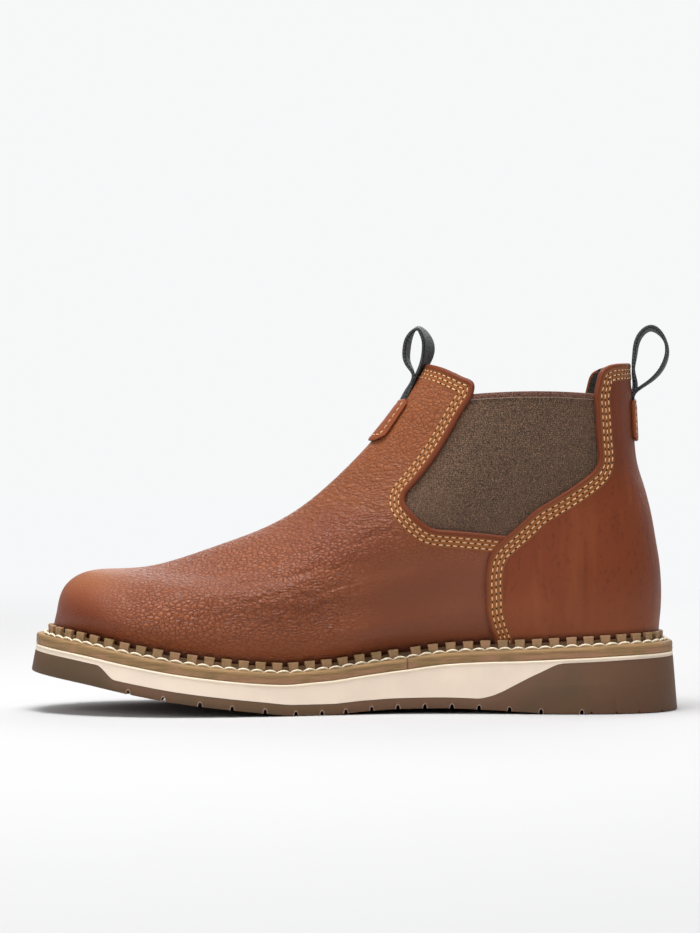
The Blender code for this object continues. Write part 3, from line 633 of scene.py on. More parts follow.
class Edge:
    """A panel's free edge: a line over the skin, with directions that point into the panel."""

    SPACING = 0.0008

    def __init__(self, turns, heights):
        fine = np.linspace(0, len(turns) - 1, (len(turns) - 1) * 30 + 1)
        turns, heights = (np.interp(fine, np.arange(len(turns)), values) for values in (turns, heights))
        run = self.lengths(on_skin(turns, heights))
        places = np.linspace(0, run[-1], int(run[-1] / self.SPACING) + 1)
        turns, heights = np.interp(places, run, turns), np.interp(places, run, heights)
        for _ in range(6):
            turns[1:-1] = (turns[:-2] + 2 * turns[1:-1] + turns[2:]) / 4
            heights[1:-1] = (heights[:-2] + 2 * heights[1:-1] + heights[2:]) / 4
        self.turns, self.heights = turns, heights
        self.points = on_skin(turns, heights)
        self.normals = unit(sample(SKIN_NORMALS, turns, heights))
        inward = np.cross(unit(np.gradient(self.points, axis=0)), self.normals)
        middle = len(turns) // 2
        self.inward = unit(inward) * -np.sign(inward[middle, 2])

    @staticmethod
    def lengths(points):
        return np.concatenate([[0], np.cumsum(np.linalg.norm(np.diff(points, axis=0), axis=1))])

    def offset(self, distance):
        """The turns and heights of the line, moved into the panel, without loops at tight corners."""
        if distance <= 0:
            return self.turns, self.heights
        turns, heights = walk(self.turns, self.heights, self.inward, distance)
        moved = on_skin(turns, heights)
        nearest = np.array([np.min(np.linalg.norm(self.points - point, axis=1)) for point in moved])
        good = nearest > 0.965 * distance
        good[0] = good[-1] = True
        index = np.arange(len(turns))
        return np.interp(index, index[good], turns[good]), np.interp(index, index[good], heights[good])


def panel_edge(line, rim_share, middle):
    """A panel's free edge: up its inner side, round the collar's rim over its middle, and down again."""
    rim = np.linspace(rim_turn(rim_share), middle, RIM_STEPS)
    runs = []
    for side, start in ((INNER, FULL_TURN if middle else 0), (OUTER, 0)):
        turns, heights = side_spots(rounded(line), side)
        runs.append((start + np.concatenate([turns[:-1], side * rim]),
                     np.concatenate([heights[:-1], np.ones(RIM_STEPS)])))
    (inner_turns, inner_heights), (outer_turns, outer_heights) = runs
    return Edge(np.concatenate([inner_turns, outer_turns[-2::-1]]),
                np.concatenate([inner_heights, outer_heights[-2::-1]]))


def vamp_edge_line():
    return panel_edge(
        GORE_FRONT + FRONT_SHOULDER + ((FRONT_RIM_SHARE, 0.955, 0),), FRONT_RIM_SHARE, math.pi)


def quarter_edge_line():
    return panel_edge(
        QUARTER_EDGE + GORE_BACK + BACK_SHOULDER + ((BACK_RIM_SHARE, 1.0, 0),), BACK_RIM_SHARE, 0)


def fold_lift(points, depth_scale):
    """The lift that the vamp's folds and slow swells give the leather, fading towards its edge."""
    x, z = points[:, 0], points[:, 2]
    lift = np.zeros(len(points))
    for mid_x, mid_z, half_length, tilt, half_width, depth in FOLDS:
        cos, sin = math.cos(math.radians(tilt)), math.sin(math.radians(tilt))
        along = (x - mid_x) * cos + (z - mid_z) * sin
        across = (z - mid_z) * cos - (x - mid_x) * sin
        across = across + 0.0009 * np.sin(along * 420 + mid_x * 900)
        trough = (across / half_width) ** 2
        lift -= depth * (1.25 - trough * 0.9) * np.exp(-trough) * np.exp(-(along / half_length) ** 2)
    swell = np.sin(x * 61 + 1.3) * np.sin(z * 83 + 0.4) + np.sin(x * 127 - z * 95 + points[:, 1] * 40)
    lift += 0.00016 * swell
    fade = np.clip((opening_distance(points) - 0.0065) / 0.008, 0, 1)
    return lift * fade * depth_scale


# Blender helpers

MERGE = 1e-7
FACES_OUT = ("normals_make_consistent", {"inside": False})


def clear_selection():
    for other in bpy.context.selected_objects:
        other.select_set(False)


def only(piece):
    """Makes a piece the only selected and active object."""
    clear_selection()
    bpy.context.view_layer.objects.active = piece
    piece.select_set(True)


def named(name):
    piece = bpy.context.object
    piece.name = piece.data.name = name
    return piece


def coordinates(mesh):
    values = np.empty(len(mesh.vertices) * 3)
    mesh.vertices.foreach_get("co", values)
    return values.reshape(-1, 3)


def set_coordinates(mesh, points):
    mesh.vertices.foreach_set("co", np.asarray(points, float).ravel())
    mesh.update()


def grid_piece(name, columns_count, rows_count, place):
    """A grid of faces, each point placed by its shares across and up."""
    clear_selection()
    bpy.ops.mesh.primitive_grid_add(x_subdivisions=columns_count, y_subdivisions=rows_count, size=2)
    piece = named(name)
    flat = coordinates(piece.data)
    set_coordinates(piece.data, place((flat[:, 0] + 1) / 2, (flat[:, 1] + 1) / 2))
    return piece


def mesh_piece(name, points, faces):
    """A piece from given points and faces, with doubles merged and faces outwards."""
    mesh = bpy.data.meshes.new(name)
    mesh.from_pydata([tuple(map(float, point)) for point in points], [], [list(map(int, f)) for f in faces])
    piece = bpy.data.objects.new(name, mesh)
    bpy.context.scene.collection.objects.link(piece)
    edit_all(piece, ("remove_doubles", {"threshold": MERGE}), FACES_OUT)
    return piece


def edit_all(piece, *steps):
    """Runs mesh operators, each with its settings, on the whole of a piece."""
    only(piece)
    bpy.ops.object.mode_set(mode="EDIT")
    bpy.ops.mesh.select_all(action="SELECT")
    for operator, settings in steps:
        getattr(bpy.ops.mesh, operator)(**settings)
    bpy.ops.object.mode_set(mode="OBJECT")


def face_out(sheet, face_share, centre=None):
    """Turns an open sheet's faces away from a point, or from the boot's middle line below them."""
    edit_all(sheet, FACES_OUT)
    face = sheet.data.polygons[int(len(sheet.data.polygons) * face_share)]
    middle = np.array(face.center)
    if centre is None:
        centre = np.array([middle[0], float(middle_line(middle[0])), 0.05])
    if np.dot(np.array(face.normal), middle - centre) < 0:
        edit_all(sheet, ("flip_normals", {}))


def mark(piece, name, values):
    """Stores a number from 0 to 1 at each point, for a material to read."""
    piece.data.attributes.new(name, "FLOAT", "POINT").data.foreach_set("value", values.astype(np.float32))


def drop_faces(piece, drop):
    """Deletes the faces for which drop, given their middles, is true."""
    mesh = piece.data
    middles = np.empty(len(mesh.polygons) * 3)
    mesh.polygons.foreach_get("center", middles)
    only(piece)
    bpy.ops.object.mode_set(mode="EDIT")
    bpy.ops.mesh.select_mode(type="FACE")
    bpy.ops.mesh.select_all(action="DESELECT")
    bpy.ops.object.mode_set(mode="OBJECT")
    mesh.polygons.foreach_set("select", drop(middles.reshape(-1, 3)))
    bpy.ops.object.mode_set(mode="EDIT")
    bpy.ops.mesh.delete(type="FACE")
    bpy.ops.mesh.select_mode(type="VERT")
    bpy.ops.object.mode_set(mode="OBJECT")


def modify(piece, kind, **settings):
    """Adds a modifier and applies it."""
    only(piece)
    bpy.ops.object.modifier_add(type=kind)
    modifier = piece.modifiers[-1]
    for name, value in settings.items():
        setattr(modifier, name, value)
    bpy.ops.object.modifier_apply(modifier=modifier.name)


def smooth(piece, angle):
    only(piece)
    bpy.ops.object.shade_smooth_by_angle(angle=math.radians(angle))


def ring_faces(count, size, closed_path=False, caps=False):
    """Faces between so many closed rings of so many points."""
    faces = []
    for i in range(count if closed_path else count - 1):
        here, there = i * size, (i + 1) % count * size
        for j in range(size):
            after = (j + 1) % size
            faces.append((here + j, here + after, there + after, there + j))
    if caps:
        faces.append(range(size))
        faces.append([(count - 1) * size + j for j in reversed(range(size))])
    return faces


def swept(name, rings, closed_path=False, caps=False):
    """A piece of faces between rings of equally many points."""
    rings = np.asarray(rings, float)
    return mesh_piece(name, rings.reshape(-1, 3), ring_faces(*rings.shape[:2], closed_path, caps))


def circle(radius, sides=6):
    return [(math.cos(a) * radius, math.sin(a) * radius) for a in np.linspace(0, FULL_TURN, sides + 1)[:-1]]


def copies(name, model, places):
    """One piece of many copies of a model. A place is a point and three directions for x, y and z."""
    base = coordinates(model.data)
    loops = [list(polygon.vertices) for polygon in model.data.polygons]
    bpy.data.objects.remove(model)
    points, faces = [], []
    for number, (spot, ahead, side, up) in enumerate(places):
        points.append(spot + base[:, :1] * ahead + base[:, 1:2] * side + base[:, 2:] * up)
        faces += [[number * len(base) + i for i in loop] for loop in loops]
    return mesh_piece(name, np.concatenate(points), faces)


def put_on(piece, material, slot, *nodes, angle=None):
    """Gives a finished piece its material and body, hides the CAD parts that it replaces, and smooths it up
    to an angle.
    """
    piece.data.materials.clear()
    piece.data.materials.append(boot_material(material))
    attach(piece, "root")
    if nodes:
        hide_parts(*nodes)
    if angle:
        smooth(piece, angle)


# Materials


class Wire:
    """An output socket of a material's nodes. Sums and products on it add Math nodes."""

    def __init__(self, socket):
        self.socket = socket

    @classmethod
    def node(cls, tree, kind, settings=(), sockets=(), output=0):
        """The output of a new node, with its settings made first and its sockets set or linked."""
        made = tree.nodes.new("ShaderNode" + kind)
        for name, value in dict(settings).items():
            if name == "stops":
                ramp = made.color_ramp
                while len(ramp.elements) < len(value):
                    ramp.elements.new(0.5)
                for element, (place, colour) in zip(ramp.elements, value):
                    element.position, element.color = place, colour
            else:
                setattr(made, name, value)
        for name, value in dict(sockets).items():
            if isinstance(value, Wire):
                tree.links.new(value.socket, made.inputs[name])
            else:
                made.inputs[name].default_value = value
        return cls(made.outputs[output])

    def math(self, operation, *others, clamp=False):
        sockets = dict(enumerate((self, *others)))
        settings = {"operation": operation, "use_clamp": clamp}
        return Wire.node(self.socket.id_data, "Math", settings, sockets)

    def flipped(self, operation, other):
        return Wire.node(self.socket.id_data, "Math", {"operation": operation}, {0: other, 1: self})

    def __add__(self, other):
        return self.math("ADD", other)

    def __radd__(self, other):
        return self.math("ADD", other)

    def __sub__(self, other):
        return self.math("SUBTRACT", other)

    def __rsub__(self, other):
        return self.flipped("SUBTRACT", other)

    def __mul__(self, other):
        return self.math("MULTIPLY", other)

    def __rmul__(self, other):
        return self.math("MULTIPLY", other)

    def between(self, low, high):
        """0 below low and 1 above high, with a soft step between them."""
        settings = {"interpolation_type": "SMOOTHSTEP"}
        return Wire.node(self.socket.id_data, "MapRange", settings, {0: self, 1: low, 2: high})

    def waves(self, pitch):
        """Even waves from 0 to 1, one to each pitch."""
        return (self * (FULL_TURN / pitch)).math("SINE") * 0.5 + 0.5


class Finish:
    """A material while it is being made."""

    def __init__(self, name, colour, roughness):
        self.material = bpy.data.materials.new(name)
        self.material.use_nodes = True
        self.tree = self.material.node_tree
        self.shader = self.tree.nodes["Principled BSDF"]
        self.place = self.node("TexCoord", output=3)
        self.base = colour
        self.set("Base Color", colour)
        self.set("Roughness", roughness)

    def node(self, kind, settings=(), sockets=(), output=0):
        return Wire.node(self.tree, kind, settings, sockets, output)

    def set(self, name, value):
        if isinstance(value, Wire):
            self.tree.links.new(value.socket, self.shader.inputs[name])
        else:
            self.shader.inputs[name].default_value = value

    def axes(self, vector=None):
        made = self.tree.nodes.new("ShaderNodeSeparateXYZ")
        self.tree.links.new((vector or self.place).socket, made.inputs[0])
        return [Wire(output) for output in made.outputs]

    def stretched(self, scale, vector=None):
        return self.node("Mapping", sockets={"Vector": vector or self.place, "Scale": scale})

    def noise(self, scale, detail=3.0, roughness=0.55, vector=None):
        return self.node("TexNoise", sockets={
            "Vector": vector or self.place, "Scale": scale, "Detail": detail, "Roughness": roughness})

    def cells(self, scale, vector=None, feature="DISTANCE_TO_EDGE", randomness=1.0):
        return self.node("TexVoronoi", {"feature": feature}, {
            "Vector": vector or self.place, "Scale": scale, "Randomness": randomness})

    def warped(self, scale, amount):
        """The place, shifted by a noise of some scale."""
        noise = self.node(
            "TexNoise", sockets={"Vector": self.place, "Scale": scale, "Detail": 2.0}, output=1)
        centred = self.node("VectorMath", {"operation": "SUBTRACT"}, {0: noise, 1: (0.5, 0.5, 0.5)})
        scaled = self.node("VectorMath", {"operation": "SCALE"}, {0: centred, "Scale": amount})
        return self.node("VectorMath", {"operation": "ADD"}, {0: self.place, 1: scaled})

    def mix(self, factor, first, second):
        return self.node("Mix", {"data_type": "RGBA"}, {0: factor, 6: first, 7: second}, output=2)

    def layer(self, factor, colour):
        """Lays a colour over what the surface has so far."""
        self.base = self.mix(factor, self.base, colour)
        self.set("Base Color", self.base)

    def attribute(self, name):
        return self.node("Attribute", {"attribute_name": name}, output=2)

    def bump(self, height, distance):
        self.set("Normal", self.node("Bump", sockets={
            "Height": height, "Distance": distance, "Strength": 1.0}))

    def done(self):
        return self.material


def shade(colour, red, green=None, blue=None):
    """A colour made darker or lighter by one factor, or by one for each of its channels."""
    factors = (red, red, red) if green is None else (red, green, blue)
    return tuple(min(1.0, c * factor) for c, factor in zip(colour, factors)) + (1.0,)


def leather(name, colour, kind):
    """Oiled leather. Kind is vamp (tumbled grain), quarter (smooth), edge (rolled and stitched) or tab."""
    finish = Finish(name, tuple(colour), 0.5)
    x, _, z = finish.axes()
    colour = tuple(colour)
    warm = shade(colour, 1.16, 1.42, 1.35)
    mid = shade(colour, 0.92, 0.86, 0.76)
    deep = shade(colour, 0.66, 0.48, 0.42)
    dusk = shade(colour, 0.60, 0.60, 0.74)
    # gold is the colour of painted highlights, on the toe's top and on the stitched bands.
    gold = shade(colour, 1.18, 1.55, 1.15)
    blotches = finish.noise(38, 4.0)
    clouds = finish.noise(11, 2.0)
    specks = finish.noise(520, 3.0)
    finish.base = mid
    finish.layer(blotches.between(0.36, 0.66) * 0.7 + clouds.between(0.3, 0.7) * 0.3, colour)
    fine = finish.cells(1150, finish.warped(300, 0.0010), "F1").between(0.15, 0.75)
    if kind == "vamp":
        toe = x.between(-0.094, -0.124)
        waist = x.between(-0.020, 0.018) * z.between(0.088, 0.062)
        low = z.between(0.044, 0.026)
        instep = z.between(0.073, 0.090) * z.between(0.128, 0.104)
        high = z.between(0.104, 0.122)
        grain = (1 - toe * 0.90) * (1 - waist * 0.92) * (1 - low * 0.60)
        shifted = finish.warped(190, 0.0022)
        rounded_cells = finish.node("TexVoronoi", {"feature": "SMOOTH_F1"}, {
            "Vector": finish.stretched((0.80, 0.90, 1.10), shifted), "Scale": 520.0,
            "Smoothness": 0.20}).between(0.12, 0.60)
        furrows = 1 - finish.cells(520, finish.stretched((0.80, 0.90, 1.10), shifted)).between(0.0, 0.13)
        pebbles = (1 - rounded_cells) * 0.55 + (1 - furrows) * 0.45
        creases = finish.cells(430, finish.stretched((0.36, 0.6, 1.45), shifted)).between(0.0, 0.42)
        tilted = finish.node("Mapping", sockets={
            "Vector": shifted, "Rotation": (0.0, math.radians(-16), 0.0), "Scale": (0.36, 0.6, 1.4)})
        waves = finish.cells(400, tilted).between(0.0, 0.42)
        rolled = x.between(-0.078, -0.048) * z.between(0.070, 0.058)
        hollow = (x.between(-0.038, -0.008) * x.between(0.026, 0.008)
                  * z.between(0.064, 0.074) * z.between(0.100, 0.088))
        relief = pebbles * (1 - instep * 0.55) * (1 - rolled * 0.45) * (1 - high * 0.35)
        relief = relief + creases * rolled * 0.75 + waves * instep * 0.75
        relief = relief * grain
        valleys = furrows * (1 - instep * 0.6) * (1 - high * 0.25) * 0.72 + (1 - creases) * rolled * 0.30
        valleys = (valleys + (1 - waves) * instep * 0.34) * grain
        finish.layer(toe * z.between(0.062, 0.046) * 0.92, shade(deep, 0.90))
        # Painted highlight on the toe's top.
        finish.layer(toe * z.between(0.054, 0.068) * 0.50, gold)
        finish.layer(z.between(0.082, 0.100) * (0.45 - high * 0.10), warm)
        finish.layer(waist * 0.85, dusk)
        # Painted shade in a hollow of the vamp.
        finish.layer(hollow * 0.42, deep)
        finish.layer(low * 0.22, deep)
        # Painted shade in the grain's furrows and creases.
        finish.layer(valleys.math("MINIMUM", 0.7), shade(deep, 0.62))
        # Painted shade under the welt's rib and beside the quarter's edge.
        finish.layer(finish.attribute("grime") * 0.85, shade(deep, 0.28))
        finish.bump(relief + fine * 0.12 + specks * 0.10, 0.00053)
    else:
        streaks = finish.noise(95, 3.0, 0.6, finish.stretched((1.0, 1.0, 0.13)))
        freckles = finish.noise(560, 2.0, 0.5, finish.stretched((1.0, 1.0, 0.5))).between(0.58, 0.70)
        pale = finish.noise(70, 3.0, 0.6, finish.stretched((1.3, 1.3, 0.10))).between(0.54, 0.66)
        marks = finish.cells(150, finish.stretched((1.2, 1.2, 0.45), finish.warped(60, 0.006)))
        height = fine * 0.20 + specks * 0.22 - freckles * 0.20 + marks.between(0.0, 0.05) * 0.25
        height = height + streaks * 0.30
        finish.bump(height, 0.00020)
        if kind == "quarter":
            low = z.between(0.066, 0.036)
            finish.layer(0.86, deep)
            finish.layer(streaks.between(0.50, 0.62) * 0.42, shade(deep, 0.70))
            finish.layer(freckles * 0.42, shade(deep, 0.45))
            finish.layer(pale * 0.30, colour)
            finish.layer(z.between(0.085, 0.125) * 0.45, shade(deep, 0.66))
            finish.layer(low * 0.65, shade(mid, 1.0, 1.05, 1.35))
            # Painted shade under the welt's rib.
            finish.layer(finish.attribute("grime") * 0.85, shade(deep, 0.28))
        elif kind == "edge":
            finish.layer(0.90, shade(deep, 0.80))
            # Painted highlight on the puffed leather between the rows of stitches.
            finish.layer(finish.attribute("stitched") * 0.66, gold)
        else:
            finish.layer(0.25, deep)
    finish.set("Roughness", specks * 0.16 + blotches * 0.10 + 0.34)
    finish.set("Specular IOR Level", 0.30 if kind == "vamp" else 0.22)
    finish.set("Coat Weight", 0.03 if kind == "vamp" else 0.0)
    finish.set("Coat Roughness", 0.36)
    finish.set("Sheen Weight", 0.05)
    finish.set("Sheen Roughness", 0.45)
    finish.set("Sheen Tint", (1.0, 0.80, 0.74, 1))
    return finish.done()


def plain_cloth(name, colour, roughness, scale, distance):
    """A fine, even weave."""
    finish = Finish(name, tuple(colour), roughness)
    weave = finish.cells(scale, feature="F1", randomness=0.6)
    finish.base = shade(colour, 1.15)
    finish.layer(weave.between(0.2, 0.8), shade(colour, 0.6))
    finish.bump(1 - weave, distance)
    return finish.done()


def elastic(name, colour):
    """Ribbed elastic: fine upright cords with a speckle of lighter and darker thread."""
    finish = Finish(name, tuple(colour), 0.88)
    x, y, z = finish.axes()
    speckle = finish.cells(2200, feature="F1")
    threads = finish.noise(2000, 2.0, 0.7)
    cords = (x + y * 0.4).waves(0.00105)
    rungs = z.waves(0.0009)
    soft = finish.noise(24, 2.0)
    dim = ((x - 0.05) * 0.6 - (z - 0.12)).between(-0.01, 0.045)
    finish.base = shade(colour, 0.40)
    finish.layer(threads.between(0.44, 0.57), shade(colour, 2.15))
    finish.layer(speckle.between(0.42, 0.66) * 0.66, shade(colour, 0.30))
    finish.layer(soft.between(0.40, 0.70) * 0.30, shade(colour, 1.30))
    finish.layer(dim * 0.28, shade(colour, 0.55))
    finish.bump(cords * 0.5 + rungs * 0.25 + threads * 0.6, 0.00028)
    return finish.done()


def webbing(name, colour):
    """Black woven webbing, a slanting twill that catches some light."""
    finish = Finish(name, tuple(colour), 0.6)
    across, along, _ = finish.axes(finish.node("UVMap", {"uv_map": "weave"}))
    twill = (along + (across - 0.0065).math("ABSOLUTE") * 1.2).waves(0.0016)
    wales = across.waves(0.0011)
    fuzz = finish.noise(900, 3.0)
    lit = twill * 0.6 + wales * 0.4
    finish.base = shade(colour, 0.5)
    finish.layer(lit * fuzz, shade(colour, 5.0))
    finish.bump(twill * 0.6 + wales * 0.5 + fuzz * 0.3, 0.00042)
    return finish.done()


def thread(name, colour):
    """Twisted thread with lighter and darker strands."""
    finish = Finish(name, tuple(colour), 0.55)
    twist = finish.noise(1600, 2.0)
    finish.base = shade(colour, 0.72)
    finish.layer(twist.between(0.35, 0.7), shade(colour, 1.12))
    finish.bump(twist, 0.00012)
    return finish.done()


def rubber(name, colour, roughness, mottle, distance=0.00010, light=1.25):
    """Moulded rubber or foam with a fine skin and a slow mottle."""
    finish = Finish(name, tuple(colour), roughness)
    skin = finish.noise(1100, 3.0)
    slow = finish.noise(45, 4.0)
    finish.layer(slow.between(0.35, 0.70) * mottle, shade(colour, 0.66))
    finish.layer(skin.between(0.52, 0.80) * mottle, shade(colour, light))
    finish.set("Roughness", skin * 0.12 + (roughness - 0.06))
    finish.bump(skin * 0.5, distance)
    return finish.done()


def block_rubber(name, colour):
    """The rib's blocks: mottled rubber, with painted shade darker towards the foot."""
    finish = Finish(name, tuple(colour), 0.62)
    fine = finish.noise(1000, 3.0)
    patches = finish.noise(210, 3.0)
    finish.layer(patches.between(0.40, 0.62) * 0.7, shade(colour, 0.70, 0.86, 0.62))
    finish.layer(fine.between(0.50, 0.72) * 0.4, shade(colour, 1.45))
    # Painted shade towards each block's foot.
    finish.layer(finish.attribute("foot") * 0.50, shade(colour, 0.42))
    finish.set("Specular IOR Level", 0.35)
    finish.set("Roughness", fine * 0.15 + 0.50)
    finish.bump(fine * 0.6 + patches * 0.4, 0.00016)
    return finish.done()


def welt_strip_rubber(name, colour):
    """The welt's tan edge: long streaks, paler and pinker on top and darker and greener below."""
    finish = Finish(name, tuple(colour), 0.62)
    fine = finish.noise(1000, 3.0)
    patches = finish.noise(140, 4.0)
    lines = finish.noise(330, 4.0, 0.6, finish.stretched((0.12, 0.12, 2.4)))
    lower = finish.attribute("lower")
    stains = finish.noise(52, 2.0)
    finish.base = shade(colour, 0.80)
    finish.layer(lines.between(0.40, 0.60), shade(colour, 1.12))
    finish.layer(lower * stains.between(0.42, 0.58) * 0.30, shade(colour, 0.62, 0.70, 0.70))
    finish.layer(lower * stains.between(0.56, 0.44) * 0.50, shade(colour, 1.25, 1.04, 1.50))
    finish.layer(patches.between(0.50, 0.70) * 0.35, shade(colour, 1.35, 1.16, 1.45))
    finish.layer(fine.between(0.55, 0.72) * 0.25, shade(colour, 0.62))
    x, y, _ = finish.axes()
    dark = shade(colour, 0.24, 0.20, 0.18)
    # Painted shade on the low rib between the blocks, a little lighter towards the toe.
    finish.layer(finish.attribute("shaded") * (x.between(-0.06, 0.0) * 0.14 + 0.80), dark)
    joint = (x - WELT_JOINT_X).math("ABSOLUTE").between(0.00055, 0.00025) * y.between(0.0, -0.010)
    finish.layer(joint * 0.70, shade(colour, 0.16))
    finish.set("Specular IOR Level", 0.25)
    finish.set("Roughness", fine * 0.18 + 0.50)
    finish.bump(lines * 0.8 + patches * 0.5 + fine * 0.5, 0.00030)
    return finish.done()


def outsole_rubber(name, colour):
    """Brown rubber: a dull moulded skin with long faint streaks and slow patches."""
    finish = Finish(name, tuple(colour), 0.6)
    skin = finish.noise(900, 3.0)
    slow = finish.noise(32, 3.0)
    streaks = finish.noise(120, 4.0, 0.6, finish.stretched((0.25, 0.25, 2.0)))
    finish.layer(slow.between(0.38, 0.62) * 0.75, shade(colour, 0.80, 0.92, 1.0))
    finish.layer(finish.noise(21, 2.0).between(0.42, 0.62) * 0.60, shade(colour, 1.22, 1.0, 1.12))
    finish.layer(streaks.between(0.50, 0.72) * 0.35, shade(colour, 1.25))
    finish.layer(skin.between(0.62, 0.80) * 0.5, shade(colour, 1.5))
    finish.set("Roughness", skin * 0.15 + 0.52)
    finish.set("Specular IOR Level", 0.25)
    finish.bump(skin * 0.5 + streaks * 0.4, 0.00014)
    return finish.done()


MATERIALS = {
    # name: function, the user's colour, other details
    "seam_thread": (thread, "seam_thread"),
    "shaft_lining": (plain_cloth, "lining", 0.95, 900, 0.0003),
    "vamp_leather": (leather, "leather", "vamp"),
    "quarter_leather": (leather, "leather", "quarter"),
    "edge_leather": (leather, "leather", "edge"),
    "elastic": (elastic, "elastic"),
    "hem_elastic": (elastic, "hem"),
    "hem_thread": (thread, "hem_thread"),
    "needle_hole": (rubber, "needle_hole", 0.9, 0.0),
    "welt_edge": (welt_strip_rubber, "welt"),
    "welt_block_rubber": (block_rubber, "block"),
    "lock_thread": (thread, "lock_thread"),
    "wedge_foam": (rubber, "foam", 0.62, 0.22, 0.00006, 1.05),
    "midsole_rim": (rubber, "rim", 0.55, 0.2, 0.00005, 1.05),
    "tread_rubber": (outsole_rubber, "rubber"),
    "groove_flash": (rubber, "flash", 0.6, 0.5),
    "footbed_cloth": (plain_cloth, "insole", 0.9, 1100, 0.0002),
    "tab_leather": (leather, "leather", "tab"),
    "webbing": (webbing, "webbing"),
}


def boot_material(name):
    """One of the boot's materials, made when a piece first asks for it. The CAD slots' names are taken."""
    if name not in bpy.data.materials:
        make, colour, *details = MATERIALS[name]
        make(name, getattr(bpy.context.scene.boot_colours, colour), *details)
    return bpy.data.materials[name]


# Settings that a user may change


def size_setting(name, description, default, low, high, unit="LENGTH"):
    return bpy.props.FloatProperty(
        name=name, description=description, default=default, min=low, max=high, unit=unit)


class BootSizes(bpy.types.PropertyGroup):
    stitch_pitch: size_setting(
        "Stitch pitch", "Distance from one seam stitch to the next", 0.0033, 0.002, 0.006)
    stitch_length: size_setting(
        "Stitch length", "Length of thread that shows between two needle holes", 0.0024, 0.001, 0.005)
    thread_thickness: size_setting(
        "Thread thickness", "Thickness of the seam thread", 0.00061, 0.0003, 0.0015)
    lock_pitch: size_setting(
        "Lockstitch pitch", "Length of one arc of the welt's lockstitch", 0.0062, 0.003, 0.009)
    lock_thickness: size_setting(
        "Lockstitch thread", "Thickness of the welt's lockstitch thread", 0.00115, 0.0005, 0.002)
    fold_depth: size_setting(
        "Fold depth", "How deep the vamp's soft folds are, as a factor", 1.5, 0.0, 3.0, "NONE")
    gore_sink: size_setting(
        "Gore sink", "How far the elastic lies below the leather's face", 0.0015, 0.0, 0.0025)


def colour_setting(name, description, default):
    return bpy.props.FloatVectorProperty(
        name=name, description=description, default=default, subtype="COLOR", size=4, min=0, max=1)


class BootColours(bpy.types.PropertyGroup):
    leather: colour_setting("Leather", "The russet leather of the upper", (0.260, 0.0700, 0.0210, 1))
    elastic: colour_setting("Elastic", "The ribbed side gores", (0.116, 0.0640, 0.0365, 1))
    hem: colour_setting("Gore hem", "The folded band along the gores' tops", (0.130, 0.056, 0.036, 1))
    seam_thread: colour_setting("Seam thread", "The upper's golden thread", (0.80, 0.485, 0.275, 1))
    hem_thread: colour_setting("Hem thread", "The fine line under the gores' hems", (0.26, 0.17, 0.12, 1))
    lock_thread: colour_setting("Lockstitch thread", "The cream thread on the welt", (0.98, 0.83, 0.63, 1))
    # Dark dips that stand for the needle holes, with painted shade in them.
    needle_hole: colour_setting("Needle holes", "The dark dips between stitches", (0.010, 0.004, 0.002, 1))
    welt: colour_setting("Welt", "The tan welt strip", (0.310, 0.186, 0.080, 1))
    block: colour_setting("Welt blocks", "The blocks of the welt's rib", (0.350, 0.195, 0.100, 1))
    foam: colour_setting("Midsole", "The cream wedge", (0.800, 0.665, 0.535, 1))
    rim: colour_setting("Midsole rim", "The pale line along the wedge's top", (0.93, 0.80, 0.62, 1))
    rubber: colour_setting("Outsole", "The brown rubber", (0.112, 0.062, 0.031, 1))
    # Pale colour of moulding flash, partly a painted highlight on the grooves' rims.
    flash: colour_setting("Flash", "The pale lips of the outsole's grooves", (0.34, 0.22, 0.17, 1))
    webbing: colour_setting("Webbing", "The black pull loops", (0.016, 0.016, 0.017, 1))
    lining: colour_setting("Lining", "The dark lining inside the upper", (0.022, 0.015, 0.011, 1))
    insole: colour_setting("Footbed", "The footbed's cloth", (0.20, 0.13, 0.08, 1))


class BootPiece:
    """What every operator here shares: its settings, and an error where it can't finish."""

    bl_options = {"REGISTER", "UNDO"}

    def execute(self, context):
        self.sizes = context.scene.boot_sizes
        if not self.build():
            raise RuntimeError(f"{self.bl_label}: nothing was made")
        return {"FINISHED"}

    def sew(self, name, places):
        seam = copies(name, stitch_model(self.sizes.stitch_length, self.sizes.thread_thickness), places)
        put_on(seam, "seam_thread", None, angle=60)


def lay_painted_shade(panel, beside_lap):
    """Marks painted shade on the leather that lies in the shade of the welt's rib, or of the quarter's
    edge.
    """
    points = coordinates(panel.data)
    rise = points[:, 2] - sole_top(points[:, 0]) - WELT_THICKNESS
    grime = np.clip((0.0072 - rise) / 0.0032, 0, 1)
    if beside_lap:
        grime = np.maximum(grime, 0.8 * np.clip(1 - np.abs(behind_quarter(points) + 0.0002) / 0.0021, 0, 1))
    mark(panel, "grime", grime)


def add_panel(name, grid, place, material, thickness, beyond):
    """A lined leather panel, cut away at the opening and beyond some distance behind the quarter's edge."""
    panel = grid_piece(name, *grid, place)
    face_out(panel, 1 / 3)
    drop_faces(panel, lambda middles: (
        opening_distance(middles) < EDGE_CUT) | beyond(behind_quarter(middles)))
    lay_painted_shade(panel, name == "vamp")
    put_on(panel, material, "upper_leather", "upper")
    panel.data.materials.append(boot_material("shaft_lining"))
    modify(panel, "SOLIDIFY", thickness=thickness, offset=-1.0, material_offset=1, use_rim=True)
    smooth(panel, 60)
    return panel


class BOOT_OT_add_vamp(BootPiece, bpy.types.Operator):
    """Adds the vamp: toe, sides and front, with its folds, cut away at the gores"""

    bl_idname = "boot.add_vamp"
    bl_label = "Vamp"

    def build(self):
        def place(across, up):
            start = turn_of(VAMP_BACK_SHARE)
            turns = start + (FULL_TURN - 2 * start) * across
            points = on_skin(turns, up)
            return on_skin(turns, up, fold_lift(points, self.sizes.fold_depth))

        return add_panel(
            "vamp", VAMP_GRID, place, "vamp_leather", WALL - PANEL_TRIM, lambda behind: behind > UNDERLAP)


